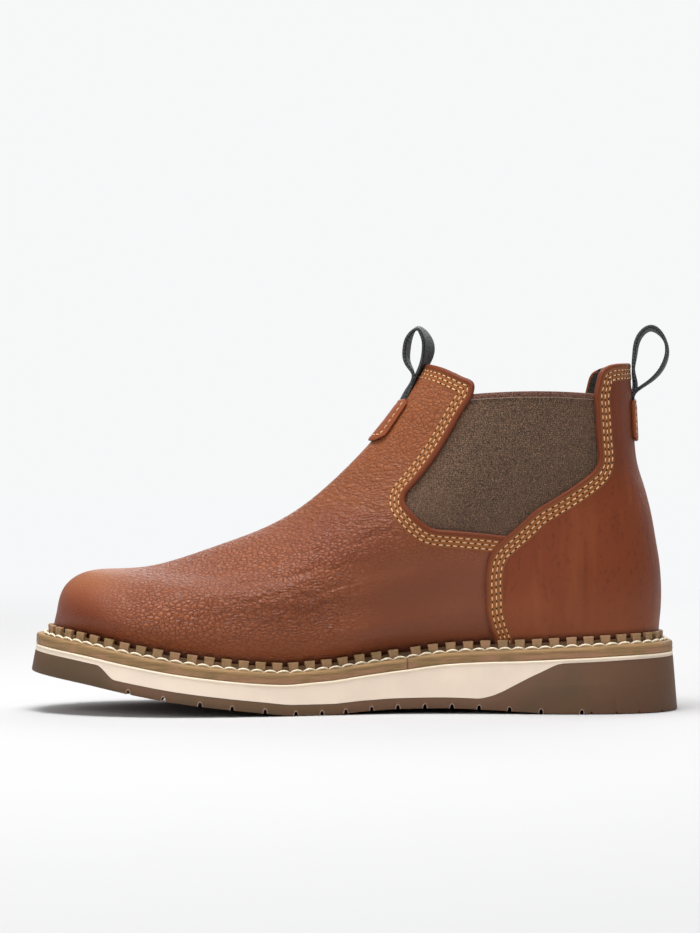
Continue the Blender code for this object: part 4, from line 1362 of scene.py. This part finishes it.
class BOOT_OT_add_quarter(BootPiece, bpy.types.Operator):
    """Adds the back quarter, which laps over the vamp"""

    bl_idname = "boot.add_quarter"
    bl_label = "Back quarter"

    def build(self):
        def place(across, up):
            reach = turn_of(QUARTER_FRONT_SHARE)
            turns = -reach + 2 * reach * across
            lift = LAP * np.clip((up - 0.03) / 0.02, 0, 1)
            points = on_skin(turns, up, lift)
            swell = np.sin(points[:, 2] * 90 + points[:, 0] * 30) * np.sin(points[:, 1] * 70 + 0.5)
            return points + unit(sample(SKIN_NORMALS, turns, up)) * (0.00012 * swell)[:, None]

        return add_panel(
            "back_quarter", QUARTER_GRID, place, "quarter_leather", WALL - PANEL_TRIM + LAP,
            lambda behind: behind < EDGE_CUT)


def band_piece(name, edge, profile):
    """A stitched band along a panel's edge: its cross-section runs over the edge and into the panel.

    A profile point is its distance into the panel and its height over the skin; the first points lie
    inside the wall, the middle ones round the edge, and the last ones sink into the panel's face.
    """
    rows = []
    for distance, height in profile:
        if distance > 0 and height > -0.0005:
            turns, heights = edge.offset(distance)
            rows.append(on_skin(turns, heights, height))
        else:
            rows.append(edge.points + edge.inward * distance + edge.normals * height)
    rings = np.stack(rows, axis=1)
    piece = swept(name, rings, caps=True)
    away = distance_to(edge.points[::2], coordinates(piece.data))
    # stitched marks the puffs between the rows of stitches, which get a painted highlight.
    stitched = np.clip((away - 0.0016) / 0.0006, 0, 1) * np.clip((0.0078 - away) / 0.0005, 0, 1)
    mark(piece, "stitched", stitched)
    smooth(piece, 60)
    return piece


def band_profile(rows, base, roll):
    """Cross-section of a stitched edge over a base level: a rolled lip, then a puff between rows."""
    profile = [
        (0.0035, -0.0016), (0.0005, -0.0017), (-0.0002, -0.0014), (-0.0005, -0.0007),
        (-0.0005, base * 0.5), (-0.0002, base + 0.5 * roll), (0.0003, base + 0.85 * roll),
        (0.0009, base + roll), (0.0014, base + 0.8 * roll), (rows[0] - 0.0004, base + 0.35 * roll),
        (rows[0], base + ROW_LIFT),
    ]
    for first, second in zip(rows, rows[1:]):
        profile += [((first + second) / 2, base + 0.00035), (second, base + ROW_LIFT)]
    last = rows[-1]
    profile += [(last + 0.0007, base + 0.00022), (last + 0.0016, base - 0.0002), (last + 0.0016, -0.0004)]
    return profile


class BOOT_OT_add_edges(BootPiece, bpy.types.Operator):
    """Adds the rolled and stitched edges of the vamp and the back quarter"""

    bl_idname = "boot.add_edges"
    bl_label = "Leather edges"

    def build(self):
        for name, edge, profile in (
            ("vamp_edge", vamp_edge_line(), band_profile(VAMP_ROWS, 0.0, 0.0008)),
            ("quarter_edge", quarter_edge_line(), band_profile(QUARTER_ROWS, LAP, 0.0006)),
        ):
            put_on(band_piece(name, edge, profile), "edge_leather", "upper_leather")
        return True


def gore_top(across):
    """The z of a gore's top, a little higher in its middle."""
    return GORE_TOP + GORE_CROWN * (1 - (2 * across - 1) ** 2)


class BOOT_OT_add_gores(BootPiece, bpy.types.Operator):
    """Adds the two elastic gores, each with a folded band along its top"""

    bl_idname = "boot.add_gores"
    bl_label = "Elastic gores"

    def build(self):
        front = rounded(((0.30, 0.36, 0), *GORE_FRONT[1:], (0.3223, 0.90, 0)))
        back = rounded(((0.30, 0.36, 0), (0.2685, 0.398, 0), *GORE_BACK, (0.1341, 0.90, 0)))
        for name, side in (("gore_medial", INNER), ("gore_lateral", OUTER)):
            def strip(across, z, lift):
                """Points across the gore at some z, seen from its side of the boot."""
                start = np.interp(z, front[:, 1], front[:, 0]) - GORE_UNDER
                end = np.interp(z, back[:, 1], back[:, 0]) + GORE_UNDER
                turns, heights = side_spots(np.stack([start + (end - start) * across, z], axis=1), side)
                return on_skin(turns, heights, lift - self.sizes.gore_sink)

            def place(across, up):
                top = gore_top(across)
                z = GORE_LOW + (top - GORE_LOW) * up
                return strip(across, z, 0.0004 * np.clip((z - (top - GORE_HEM)) / 0.0002, 0, 1))

            gore = grid_piece("elastic_" + name[5:], *GORE_GRID, place)
            face_out(gore, 1 / 3)
            put_on(gore, "elastic", "gore_elastic", name)
            modify(gore, "SOLIDIFY", thickness=GORE_THICKNESS, offset=-1.0)
            smooth(gore, 60)
            self.add_hem(name[5:], strip)
        return True

    def add_hem(self, name, strip):
        """The band that is folded over at a gore's top, with the fine line of thread at its foot."""
        across = np.linspace(0, 1, 61)
        rows = [strip(across, gore_top(across) - drop, lift) for drop, lift in HEM_PROFILE]
        hem = swept("hem_" + name, np.stack(rows, axis=1), caps=True)
        put_on(hem, "hem_elastic", "gore_elastic", angle=60)
        ring = circle(HEM_THREAD_RADIUS)
        rings = [[spot + (0, a, b) for a, b in ring] for spot in rows[6]]
        cord = swept("hem_thread_" + name, rings, caps=True)
        put_on(cord, "hem_thread", None, angle=60)


def stitch_model(length, thickness):
    """One stitch: a short thread that rises from one needle hole and dips into the next."""
    clear_selection()
    bpy.ops.mesh.primitive_uv_sphere_add(segments=8, ring_count=7, radius=0.5, rotation=(0, math.pi / 2, 0))
    bpy.ops.object.transform_apply(location=True, rotation=True, scale=True)
    stitch = bpy.context.object
    points = coordinates(stitch.data) * (length, thickness, thickness)
    points[:, 2] -= (points[:, 0] / (length / 2)) ** 2 * thickness * 0.45
    set_coordinates(stitch.data, points)
    return stitch


def seam_places(line, normals, pitch, lift, phase=0.0):
    """Places for stitches and for the needle holes between them, along a line over the leather."""
    run = Edge.lengths(line)
    count = max(1, round(run[-1] / pitch))
    step = 0.0006

    def read(values, at):
        return np.array([np.interp(min(run[-1], max(0, at)), run, values[:, i]) for i in range(3)])

    stitches, holes = [], []
    for number in range(count):
        for shift, found in ((0.5, stitches), (1.0, holes)):
            at = min(run[-1], (number + shift + phase) * run[-1] / count)
            up = unit(read(normals, at))
            ahead = unit(read(line, at + step) - read(line, at - step))
            side = unit(np.cross(up, ahead))
            found.append((read(line, at) + up * lift, ahead, side, np.cross(ahead, side)))
    return stitches, holes


def edge_row(edge, distance, base):
    """The line of a row of stitches, some way in from a panel's edge, and its normals."""
    turns, heights = edge.offset(distance)
    line = on_skin(turns, heights, base)
    keep = np.concatenate([[True], np.linalg.norm(np.diff(line, axis=0), axis=1) > 1e-5])
    return line[keep], unit(sample(SKIN_NORMALS, turns, heights))[keep]


class BOOT_OT_add_seams(BootPiece, bpy.types.Operator):
    """Adds the three rows of stitches along each leather edge, with their needle holes"""

    bl_idname = "boot.add_seams"
    bl_label = "Seams"

    def build(self):
        stitches, holes = [], []
        for edge, rows, base in (
            (vamp_edge_line(), VAMP_ROWS, 0.0),
            (quarter_edge_line(), QUARTER_ROWS, LAP),
        ):
            for phase, distance in zip(ROW_PHASES, rows):
                line, normals = edge_row(edge, distance, base + ROW_LIFT)
                found = seam_places(line, normals, self.sizes.stitch_pitch, STITCH_LIFT, phase)
                stitches += found[0]
                holes += found[1]
        self.sew("seam_stitches", stitches)
        # Dark dips for the needle holes: painted shade in the holes.
        pits = copies("needle_holes", stitch_model(HOLE_LENGTH, HOLE_WIDTH), [
            (spot - up * STITCH_LIFT, ahead, side, up * 0.6) for spot, ahead, side, up in holes])
        put_on(pits, "needle_hole", None, angle=60)
        return True


def same(inset):
    """A level's inset that is the same all round."""
    return lambda turn: SOLE_FLARE + inset + 0 * turn


def over_sole(rise):
    """A level's height over the sole's top."""
    return lambda x, *_: sole_top(x) + rise


def seam_inset(turn):
    """How far in the sole's wall stands where the outsole meets the midsole."""
    x = HEEL_X - LENGTH * share_of(turn)
    return SOLE_FLARE * (outsole_top(x) - sole_bottom(x)) / sole_stack(x)


def sole_rings(turn_values, levels):
    """Rings round the sole's outline: each level is an inset and a height, given a turn and an x."""
    rings = []
    for inset, height in levels:
        x, y = outline(turn_values, inset(turn_values))
        rings.append(np.stack([x, y, height(x)], axis=-1))
    return np.stack(rings, axis=1)


RIB_LINE = np.stack(outline(EVERY_TURN, SOLE_FLARE + ledge(EVERY_TURN)), axis=1)
WELT_RUN = Edge.lengths(RIB_LINE)  # how far along the welt's rib each turn lies
WELT_JOINT_TURN = FULL_TURN - float(turn_of(0.4205))  # where the welt's ends meet, on the inner side
WELT_JOINT = float(np.interp(WELT_JOINT_TURN, EVERY_TURN, WELT_RUN))
WELT_JOINT_X = float(outline(WELT_JOINT_TURN)[0])


def welt_place(distance, inset, height):
    """A point over the welt, with the directions along it, outwards and up."""
    turn = float(np.interp(distance % WELT_RUN[-1], WELT_RUN, EVERY_TURN))
    inset = SOLE_FLARE + float(ledge(turn)) + inset

    def spot(at):
        x, y = outline(at, inset)
        return np.array([float(x), float(y), float(sole_top(x)) + GAP + height])

    ahead = unit(spot(turn + 0.004) - spot(turn - 0.004))
    side = unit(np.cross(UP, ahead))
    return spot(turn), ahead, side, np.cross(ahead, side)


WELT_PROFILE = (
    # where the inset is counted from, inset, height over the sole
    ("back", 0.0, 0.0), ("edge", 0.0004, 0.0), ("edge", 0.0001, 0.0003), ("edge", -0.0001, 0.0010),
    ("edge", 0.0001, 0.0022), ("edge", 0.0, 0.0024), ("edge", 0.0002, 0.0027), ("edge", 0.0, 0.0030),
    ("edge", 0.0001, 0.0040), ("edge", 0.0004, 0.0046), ("edge", 0.0010, 0.0050), ("edge", 0.0022, 0.0051),
    ("foot", -0.0012, 0.0049), ("foot", -0.0002, 0.0050), ("foot", 0.0004, WELT_THICKNESS + 0.0010),
    ("foot", 0.0005, WELT_THICKNESS + LOW_RIB - 0.0003), ("foot", 0.0009, WELT_THICKNESS + LOW_RIB),
    ("back", 0.0, WELT_THICKNESS + LOW_RIB),
)


class BOOT_OT_add_welt(BootPiece, bpy.types.Operator):
    """Adds the welt strip with its joint, and the rib's blocks"""

    bl_idname = "boot.add_welt"
    bl_label = "Welt"

    def build(self):
        turns = np.linspace(0, FULL_TURN, 361)[:-1]
        insets = {
            "edge": same,
            "foot": lambda extra: lambda turn: SOLE_FLARE + ledge(turn) + extra,
            "back": lambda _: lambda turn: ledge(turn) + RIB_THICKNESS + SOLE_FLARE,
        }
        levels = [(insets[where](inset), over_sole(GAP + rise)) for where, inset, rise in WELT_PROFILE]
        strip = swept("welt_strip", sole_rings(turns, levels), closed_path=True)
        points = coordinates(strip.data)
        rise = points[:, 2] - sole_top(points[:, 0]) - GAP
        mark(strip, "lower", np.clip((0.0030 - rise) / 0.0008, 0, 1))
        # shaded marks the low rib between the blocks, for its painted shade.
        mark(strip, "shaded", np.clip((rise - WELT_THICKNESS - 0.0003) / 0.0006, 0, 1))
        put_on(strip, "welt_edge", "welt_rubber", "welt", angle=45)

        count = round(WELT_RUN[-1] / BLOCK_PITCH - JOINT_GAP)
        pitch = WELT_RUN[-1] / (count + JOINT_GAP)
        blocks = copies("welt_blocks", self.block(), [
            welt_place(WELT_JOINT + (number + (1 + JOINT_GAP) / 2) * pitch, 0.0, WELT_THICKNESS)
            for number in range(count)])
        points = coordinates(blocks.data)
        rise = points[:, 2] - sole_top(points[:, 0]) - GAP - WELT_THICKNESS
        # foot marks where each block gets painted shade, near its foot.
        mark(blocks, "foot", np.clip((0.0022 - rise) / 0.0016, 0, 1))
        put_on(blocks, "welt_block_rubber", "welt_rubber", angle=40)
        return True

    def block(self):
        """One block, modelled about the middle of its outer face's foot: x along, y inwards, z up."""
        clear_selection()
        bpy.ops.mesh.primitive_cube_add(size=1, location=(0, 0, 0))
        block = bpy.context.object
        modify(block, "SUBSURF", subdivision_type="SIMPLE", levels=2, render_levels=2)
        points = coordinates(block.data)
        up = points[:, 2] + 0.5
        waist = 0.90 + 0.10 * (2 * up - 0.9) ** 2
        points[:, 0] *= BLOCK_WIDTH * waist
        hollow = 0.00028 * (1 - (2 * points[:, 0] / BLOCK_WIDTH) ** 2) * (1 - (2 * up - 1) ** 2)
        sunk = np.where(points[:, 1] < -0.4, hollow, 0)
        points[:, 1] = (points[:, 1] + 0.5) * RIB_THICKNESS + sunk + 0.0001 * up
        points[:, 2] = up * BLOCK_HEIGHT
        set_coordinates(block.data, points)
        modify(block, "BEVEL", width=0.0005, segments=3, limit_method="ANGLE", angle_limit=math.radians(40))
        return block


class BOOT_OT_add_lockstitch(BootPiece, bpy.types.Operator):
    """Adds the scalloped lockstitch along the foot of the welt's blocks"""

    bl_idname = "boot.add_lockstitch"
    bl_label = "Lockstitch"

    def build(self):
        count = round(WELT_RUN[-1] / self.sizes.lock_pitch)
        pitch = WELT_RUN[-1] / count
        points, faces = [], []
        arc_faces = ring_faces(ARC_POINTS, ARC_SIDES, caps=True)
        for number in range(count):
            faces += [[len(points) + i for i in face] for face in arc_faces]
            for share in np.linspace(0, 1, ARC_POINTS):
                distance = WELT_JOINT + number * pitch + (share * 1.04 - 0.02) * pitch
                arch = math.sin(math.pi * share) ** 0.7
                spot, _, side, up = welt_place(
                    distance, -0.0010 - 0.0004 * arch, WELT_THICKNESS - 0.0001 + 0.00105 * arch)
                radius = self.sizes.lock_thickness / 2 * (0.50 + 0.50 * arch)
                points += [spot + side * a + up * b for a, b in circle(radius, ARC_SIDES)]
        lock = mesh_piece("welt_lockstitch", points, faces)
        put_on(lock, "lock_thread", None, angle=60)
        return True


def sole_slab(name, shares, levels):
    """A slab with the sole's outline. A level is (inset, height), given turns and (x, station numbers)."""
    turns = turn_of(shares)
    index = np.arange(len(shares))
    rings = []
    for side_turns in (FULL_TURN - turns, turns):
        wall = []
        for inset, height in levels:
            x, y = outline(side_turns, inset(side_turns))
            wall.append(np.stack([x, y, height(x, index)], axis=-1))
        rings.append(np.stack(wall, axis=1))
    return swept(name, np.concatenate([rings[0], rings[1][:, ::-1]], axis=1))


def stations(special, count):
    """Shares of the sole's length: an even spread, and the special ones where its section changes."""
    even = share_of(np.linspace(0, math.pi, count))
    kept = [share for share in even if min(abs(share - s) for s in special) > 0.0012]
    return np.array(sorted({0.0, 1.0, *kept, *special}))


RIM_PROFILE = (
    # inset, height over the sole's top
    (0.0030, -0.0009), (0.0, -0.0009), (-0.0003, -0.0007), (-0.0004, -0.0004), (-0.0003, -0.0001),
    (0.0, 0.0001), (0.0030, 0.0001),
)


class BOOT_OT_add_midsole(BootPiece, bpy.types.Operator):
    """Adds the cream wedge and the pale rim along its top"""

    bl_idname = "boot.add_midsole"
    bl_label = "Midsole"

    def build(self):
        shares = stations([row[0] for row in BROWN_WALL[1:-1]], 181)
        foot = lambda x, *_: outsole_top(x) + 0.00005
        levels = [
            (lambda turn: seam_inset(turn) + 0.004, foot),
            (seam_inset, foot),
            (lambda turn: 0.5 * (seam_inset(turn) + SOLE_FLARE), lambda x, *_: 0.5 * (
                outsole_top(x) + sole_top(x) - 0.001)),
            (same(0.0), over_sole(-0.0008)),
            (same(0.0012), over_sole(-0.0007)),
        ]
        midsole = sole_slab("wedge_midsole", shares, levels)
        put_on(midsole, "wedge_foam", "midsole_foam", "midsole", angle=45)
        rim = sole_slab("midsole_rim", shares, [
            (same(inset), over_sole(rise)) for inset, rise in RIM_PROFILE])
        put_on(rim, "midsole_rim", "midsole_foam", angle=45)
        return True


class BOOT_OT_add_outsole(BootPiece, bpy.types.Operator):
    """Adds the brown outsole with its toe bumper, heel block and arched grooves"""

    bl_idname = "boot.add_outsole"
    bl_label = "Outsole"

    def build(self):
        half = GROOVE_WIDTH / 2 / LENGTH
        offsets = half * np.array([-1.35, -1.0, -0.93, -0.75, -0.4, 0, 0.4, 0.75, 0.93, 1.0, 1.35])
        special = [g + offset for g in GROOVES for offset in offsets]
        special += [n + half * offset for n in HEEL_NOTCHES for offset in (-0.5, -0.3, 0, 0.3, 0.5)]
        corners = [share for share, _ in BROWN_WALL[1:-1]]
        corners = [c for c in corners if min(abs(c - g) for g in special) > 0.001]
        shares = stations(special + corners, 121)
        off, notch = (np.array([min(abs(share - cut) for cut in cuts) for share in shares]) / half
                      for cuts in (GROOVES, HEEL_NOTCHES))
        arch = GROOVE_DEPTH * np.sqrt(np.clip(1 - off**2, 0, 1)) * 1.05
        arch = np.maximum(arch, NOTCH_DEPTH * np.clip(1.6 - 3.2 * notch, 0, 1))

        wall = lambda part, extra=0.0: lambda turn: seam_inset(turn) * part + extra
        tread = lambda rise: lambda x, i: sole_bottom(x) + rise(arch[i])
        low = 0.00045
        levels = [
            (lambda turn: 0.006 + 0 * turn, tread(lambda a: a)),
            (lambda turn: low + 0 * turn, tread(lambda a: a)),
            (lambda turn: 0.0001 + 0 * turn, tread(lambda a: np.maximum(a, low * 0.6))),
            (lambda turn: 0.0 * turn, tread(lambda a: np.maximum(a + 0.00035, 0.0006))),
            (wall(0.45), lambda x, i: sole_bottom(x) + 0.45 * (outsole_top(x) - sole_bottom(x)) + 0.0005),
            (wall(0.96), lambda x, i: outsole_top(x) - 0.0004),
            (wall(1.0, 0.0002), lambda x, i: outsole_top(x)),
            (wall(1.0, 0.006), lambda x, i: outsole_top(x)),
        ]
        outsole = sole_slab("outsole_tread", shares, levels)
        put_on(outsole, "tread_rubber", "outsole_rubber", "outsole", angle=40)
        self.add_flash()
        return True

    def add_flash(self):
        """Adds the thin lip that moulding leaves round each groove's mouth, on both sides; its pale colour
        is partly a painted highlight on the groove's rim.
        """
        angles = np.linspace(0, math.pi, 13)
        ring = circle(FLASH_RADIUS)
        wide, tall = GROOVE_WIDTH / 2, GROOVE_DEPTH * 1.05 + 0.00035
        rings = [[(math.cos(a) * (wide + p), q, math.sin(a) * (tall + p)) for p, q in ring] for a in angles]
        model = swept("flash_model", rings, caps=True)
        places = []
        for share in GROOVES:
            for turn in (float(turn_of(share)), FULL_TURN - float(turn_of(share))):
                x, y = outline(turn)
                ahead, behind = outline(turn + 0.01), outline(turn - 0.01)
                along = unit(np.array([float(ahead[0] - behind[0]), float(ahead[1] - behind[1]), 0.0]))
                spot = np.array([float(x), float(y), float(sole_bottom(x))])
                places.append((spot, along, np.cross(UP, along), UP))
        flash = copies("groove_flash", model, places)
        put_on(flash, "groove_flash", "outsole_rubber", angle=60)


FOOTBED_PROFILE = (
    # inset from the upper's lining, height: its middle is dished
    (0.003, 0.0), (0.0, 0.0), (0.0, INSOLE_THICKNESS - 0.0008), (0.0006, INSOLE_THICKNESS),
    (0.004, INSOLE_THICKNESS - 0.0002), (0.012, INSOLE_THICKNESS - 0.0009),
    (0.020, INSOLE_THICKNESS - 0.0011),
)


class BOOT_OT_add_insole(BootPiece, bpy.types.Operator):
    """Adds the footbed, slightly dished"""

    bl_idname = "boot.add_insole"
    bl_label = "Footbed"

    def build(self):
        edge = lambda extra: lambda turn: feather_inset(turn) + WALL + INSOLE_CLEARANCE + extra
        levels = [(edge(inset), over_sole(GAP + rise)) for inset, rise in FOOTBED_PROFILE]
        insole = sole_slab("footbed", share_of(np.linspace(0, math.pi, 121)), levels)
        put_on(insole, "footbed_cloth", "insole_board", "insole", angle=45)
        return True


def height_below_rim(turn, drop):
    """The height on the skin that lies some way below the rim, at the front or the back."""
    heights = np.linspace(0, 1, 401)
    return float(np.interp(on_skin(turn, 1.0)[2] - drop, on_skin(turn, heights)[:, 2], heights))


class BOOT_OT_add_tabs(BootPiece, bpy.types.Operator):
    """Adds the two leather tabs that hold the pull loops, with their stitches"""

    bl_idname = "boot.add_tabs"
    bl_label = "Loop tabs"

    def build(self):
        stitches = []
        for name, node, turn, proud in TABS:
            top, bottom = height_below_rim(turn, TAB_DROP), height_below_rim(turn, TAB_DROP + TAB_LENGTH)
            near = np.linspace(turn - 0.9, turn + 0.9, 181)

            def spot(across, up, lift):
                """A point of the tab: across runs from -1 to 1, up from 0 to 1."""
                heights = bottom + (top - bottom) * up
                found = []
                for a, h in zip(np.atleast_1d(across), np.atleast_1d(heights)):
                    side = on_skin(near, h)[:, 1]
                    side = side - side[90]
                    order = np.argsort(side)
                    found.append(np.interp(a * TAB_WIDTH / 2, side[order], near[order]))
                turns = np.array(found)
                return on_skin(turns, heights, lift), unit(sample(SKIN_NORMALS, turns, heights))

            def place(across, up):
                corner = 0.16  # share of the tab's half side that its corner's rounding takes
                a, b = 2 * across - 1, 2 * up - 1
                rim_roll = np.minimum(1 - np.abs(a), 1 - np.abs(b))
                squeeze, ends = (np.clip((np.abs(v) - (1 - corner)) / corner, 0, 1) ** 2 for v in (a, b))
                a, b = a * (1 - corner * ends), 0.5 + (up - 0.5) * (1 - 0.10 * squeeze)
                lift = proud + GAP + 0.0011 + 0.0006 * np.clip(rim_roll / 0.14, 0, 1) ** 0.5
                groove = np.exp(-((rim_roll - 0.22) / 0.05) ** 2)
                return spot(a, b, lift - 0.00022 * groove)[0]

            tab = grid_piece(name, *TAB_GRID, place)
            face_out(tab, 1 / 2, np.array([0.075, 0, 0.1]))
            put_on(tab, "tab_leather", "upper_leather", node)
            modify(tab, "SOLIDIFY", thickness=TAB_THICKNESS, offset=-1.0)
            modify(tab, "BEVEL", width=0.0003, segments=2, limit_method="ANGLE",
                   angle_limit=math.radians(60))
            smooth(tab, 60)
            corners = [(-0.78, 1.0), (-0.78, 0.13), (0.78, 0.13), (0.78, 1.0)]
            path = []
            for (a0, b0), (a1, b1) in zip(corners, corners[1:]):
                path += [(a0 + (a1 - a0) * t, b0 + (b1 - b0) * t) for t in np.linspace(0, 1, 30)[:-1]]
            path.append(corners[-1])
            across, up = np.array(path).T
            line, normals = spot(across, up * 0.94, proud + GAP + TAB_THICKNESS)
            stitches += seam_places(line, normals, self.sizes.stitch_pitch, 0.0002)[0]
        self.sew("tab_stitches", stitches)
        return True


class BOOT_OT_add_loops(BootPiece, bpy.types.Operator):
    """Adds the two webbing pull loops"""

    bl_idname = "boot.add_loops"
    bl_label = "Pull loops"

    def build(self):
        for name, node, turn, proud, path, twists in LOOPS:
            top = height_below_rim(turn, TAB_DROP)
            foot, above = on_skin(turn, top, proud)[::2], on_skin(turn, top, proud + WALL)[::2]
            outward = unit(above - foot)
            upward = np.array([-outward[1], outward[0]])
            upward *= np.sign(upward[1])
            base = foot + outward * (GAP + LOOP_FOOT / 2) + upward * 3 * GAP
            path = np.array(path)
            low_part = np.clip(1 - path[:, 1] / 0.5, 0, 1)
            eye = base + path * LOOP_LENGTH - outward * LOOP_SETTLE * low_part[:, None]
            base = base - outward * LOOP_SETTLE
            low = base - upward * 0.0050 + outward * 0.0002
            stem = base + upward * 0.0010
            spread = outward * 0.00035 * (-1 if (eye[0] - eye[-1]) @ outward <= 0 else 1)
            beside = on_skin(turn + np.linspace(0, 0.6, 61), top, proud + WALL)
            fall = (beside[0, ::2] - beside[:, ::2]) @ outward
            fall = float(np.interp(0.006, np.abs(beside[:, 1]), fall)) / 0.006**2
            spots = np.array([low + spread, stem + spread, *eye, stem - spread, low - spread])
            knots = Edge.lengths(spots)
            places = np.linspace(0, knots[-1], 121)
            middle = flowing(knots, spots, places)
            tangent = unit(np.gradient(middle, axis=0))
            twist = np.radians(flowing(knots, np.array([0, 0, *twists, 0, 0], float), places))
            half_w, half_t = WEBBING_WIDTH / 2, WEBBING_THICKNESS / 2
            profile, rings = [], []
            for side in (1, -1):
                profile += [(side * (half_w - 0.0006) * k, side * half_t) for k in np.linspace(-1, 1, 9)]
                profile += [(side * half_w, side * half_t * 0.4), (side * half_w, -side * half_t * 0.4)]
            for (x, z), (tx, tz), angle in zip(middle, tangent, twist):
                across, out = np.array([0.0, 1.0, 0.0]), np.array([tz, 0.0, -tx])
                cos, sin = math.cos(angle), math.sin(angle)
                wide, thick = across * cos + out * sin, out * cos - across * sin
                centre = np.array([x, 0.0, z])
                rise = float((centre[::2] - base) @ upward)
                pressed = 1 - 0.45 * min(1.0, max(0.0, 1 - rise / 0.004))
                bent = fall * min(1.0, max(0.0, 1 - rise / 0.012))
                inward = np.array([-outward[0], 0.0, -outward[1]])
                rings.append([
                    centre + wide * a + thick * b * pressed + inward * bent * a * a for a, b in profile])
            loop = swept(name, rings, caps=True)
            self.lay_weave(loop, middle, places)
            put_on(loop, "webbing", "loop_webbing", node, angle=50)
        return True

    @staticmethod
    def lay_weave(loop, middle, places):
        """A UV map in metres: across the webbing, and along it."""
        points = coordinates(loop.data)
        layer = loop.data.uv_layers.new(name="weave")
        nearest = np.array([np.argmin(np.sum((middle - p) ** 2, axis=1)) for p in points[:, ::2]])
        across, along = points[:, 1] + WEBBING_WIDTH / 2, places[nearest]
        index = np.empty(len(loop.data.loops), int)
        loop.data.loops.foreach_get("vertex_index", index)
        spots = np.stack([across[index], along[index]], axis=1)
        layer.data.foreach_set("uv", spots.astype(np.float32).ravel())


class BOOT_OT_add_stage(BootPiece, bpy.types.Operator):
    """Adds the pale floor, the soft studio lights and the camera"""

    bl_idname = "boot.add_stage"
    bl_label = "Stage"

    def build(self):
        scene = bpy.context.scene
        clear_selection()
        camera_data = bpy.data.cameras.new("camera")
        camera_data.lens, camera_data.sensor_width = CAMERA_LENS, CAMERA_SENSOR
        camera_data.clip_start, camera_data.clip_end = 0.05, 50.0
        camera = bpy.data.objects.new("camera", camera_data)
        camera.location = CAMERA_PLACE
        camera.rotation_euler = (math.radians(90), 0, 0)
        scene.collection.objects.link(camera)
        scene.camera = camera

        bpy.ops.mesh.primitive_circle_add(
            vertices=96, radius=9.0, fill_type="NGON", location=(0, 0, -0.0002))
        floor = named("floor")
        floor.data.materials.append(self.floor_material())

        for lamp in LAMPS:
            self.lamp(*lamp)

        world = bpy.data.worlds.new("studio")
        world.use_nodes = True
        tree = world.node_tree
        direction = Wire.node(tree, "TexCoord")
        split = tree.nodes.new("ShaderNodeSeparateXYZ")
        tree.links.new(direction.socket, split.inputs[0])
        rise = Wire(split.outputs[2])
        light = Wire.node(tree, "Mix", {"data_type": "RGBA"}, {
            0: rise.between(0.0, 0.7), 6: LOW_GLOW, 7: HIGH_GLOW}, output=2)
        seen = Wire.node(tree, "LightPath")
        colour = Wire.node(tree, "Mix", {"data_type": "RGBA"}, {
            0: seen, 6: light, 7: BACKGROUND}, output=2)
        tree.links.new(colour.socket, tree.nodes["Background"].inputs["Color"])
        scene.world = world
        scene.view_settings.view_transform = "Standard"
        return True

    def lamp(self, name, place, aim, width, depth, watts):
        data = bpy.data.lights.new(name, "AREA")
        data.shape, data.size, data.size_y, data.energy = "RECTANGLE", width, depth, watts
        lamp = bpy.data.objects.new(name, data)
        lamp.location = place
        direction = unit(np.array(place, float) - np.array(aim, float))
        yaw, pitch = math.atan2(direction[0], -direction[1]), math.acos(direction[2])
        lamp.rotation_euler = (pitch, 0, yaw)
        bpy.context.scene.collection.objects.link(lamp)

    def floor_material(self):
        """White paper that turns, far from the boot, into the same glow as the background."""
        finish = Finish("floor_paper", PAPER, 0.9)
        x, y, _ = finish.axes()
        far = (x * x + y * y).math("SQRT").between(0.35, 1.5)
        glow = finish.node("Emission", sockets={"Color": FLOOR_GLOW, "Strength": 1.0})
        paper = Wire(finish.shader.outputs[0])
        mixed = finish.node("MixShader", sockets={0: far, 1: paper, 2: glow})
        output = finish.tree.nodes["Material Output"]
        finish.tree.links.new(mixed.socket, output.inputs["Surface"])
        finish.set("Specular IOR Level", 0.0)
        return finish.done()


PIECES = (
    BOOT_OT_add_stage, BOOT_OT_add_outsole, BOOT_OT_add_midsole, BOOT_OT_add_insole, BOOT_OT_add_welt,
    BOOT_OT_add_lockstitch, BOOT_OT_add_vamp, BOOT_OT_add_quarter, BOOT_OT_add_gores, BOOT_OT_add_edges,
    BOOT_OT_add_seams, BOOT_OT_add_tabs, BOOT_OT_add_loops,
)


class BOOT_PT_pieces(bpy.types.Panel):
    """Lists the boot's pieces and settings"""

    bl_idname = "BOOT_PT_pieces"
    bl_label = "Work boot"
    bl_space_type = "VIEW_3D"
    bl_region_type = "UI"
    bl_category = "Boot"

    def draw(self, context):
        for piece in PIECES:
            self.layout.operator(piece.bl_idname)
        for settings in (context.scene.boot_sizes, context.scene.boot_colours):
            box = self.layout.box()
            for name in settings.bl_rna.properties.keys():
                if name not in ("rna_type", "name"):
                    box.prop(settings, name)


CLASSES = (BootSizes, BootColours, *PIECES, BOOT_PT_pieces)


def register():
    for cls in CLASSES:
        bpy.utils.register_class(cls)
    bpy.types.Scene.boot_sizes = bpy.props.PointerProperty(type=BootSizes)
    bpy.types.Scene.boot_colours = bpy.props.PointerProperty(type=BootColours)


def unregister():
    del bpy.types.Scene.boot_colours
    del bpy.types.Scene.boot_sizes
    for cls in reversed(CLASSES):
        bpy.utils.unregister_class(cls)


def main():
    register()
    for piece in PIECES:
        group, name = piece.bl_idname.split(".")
        getattr(getattr(bpy.ops, group), name)()


if __name__ == "__main__":
    main()
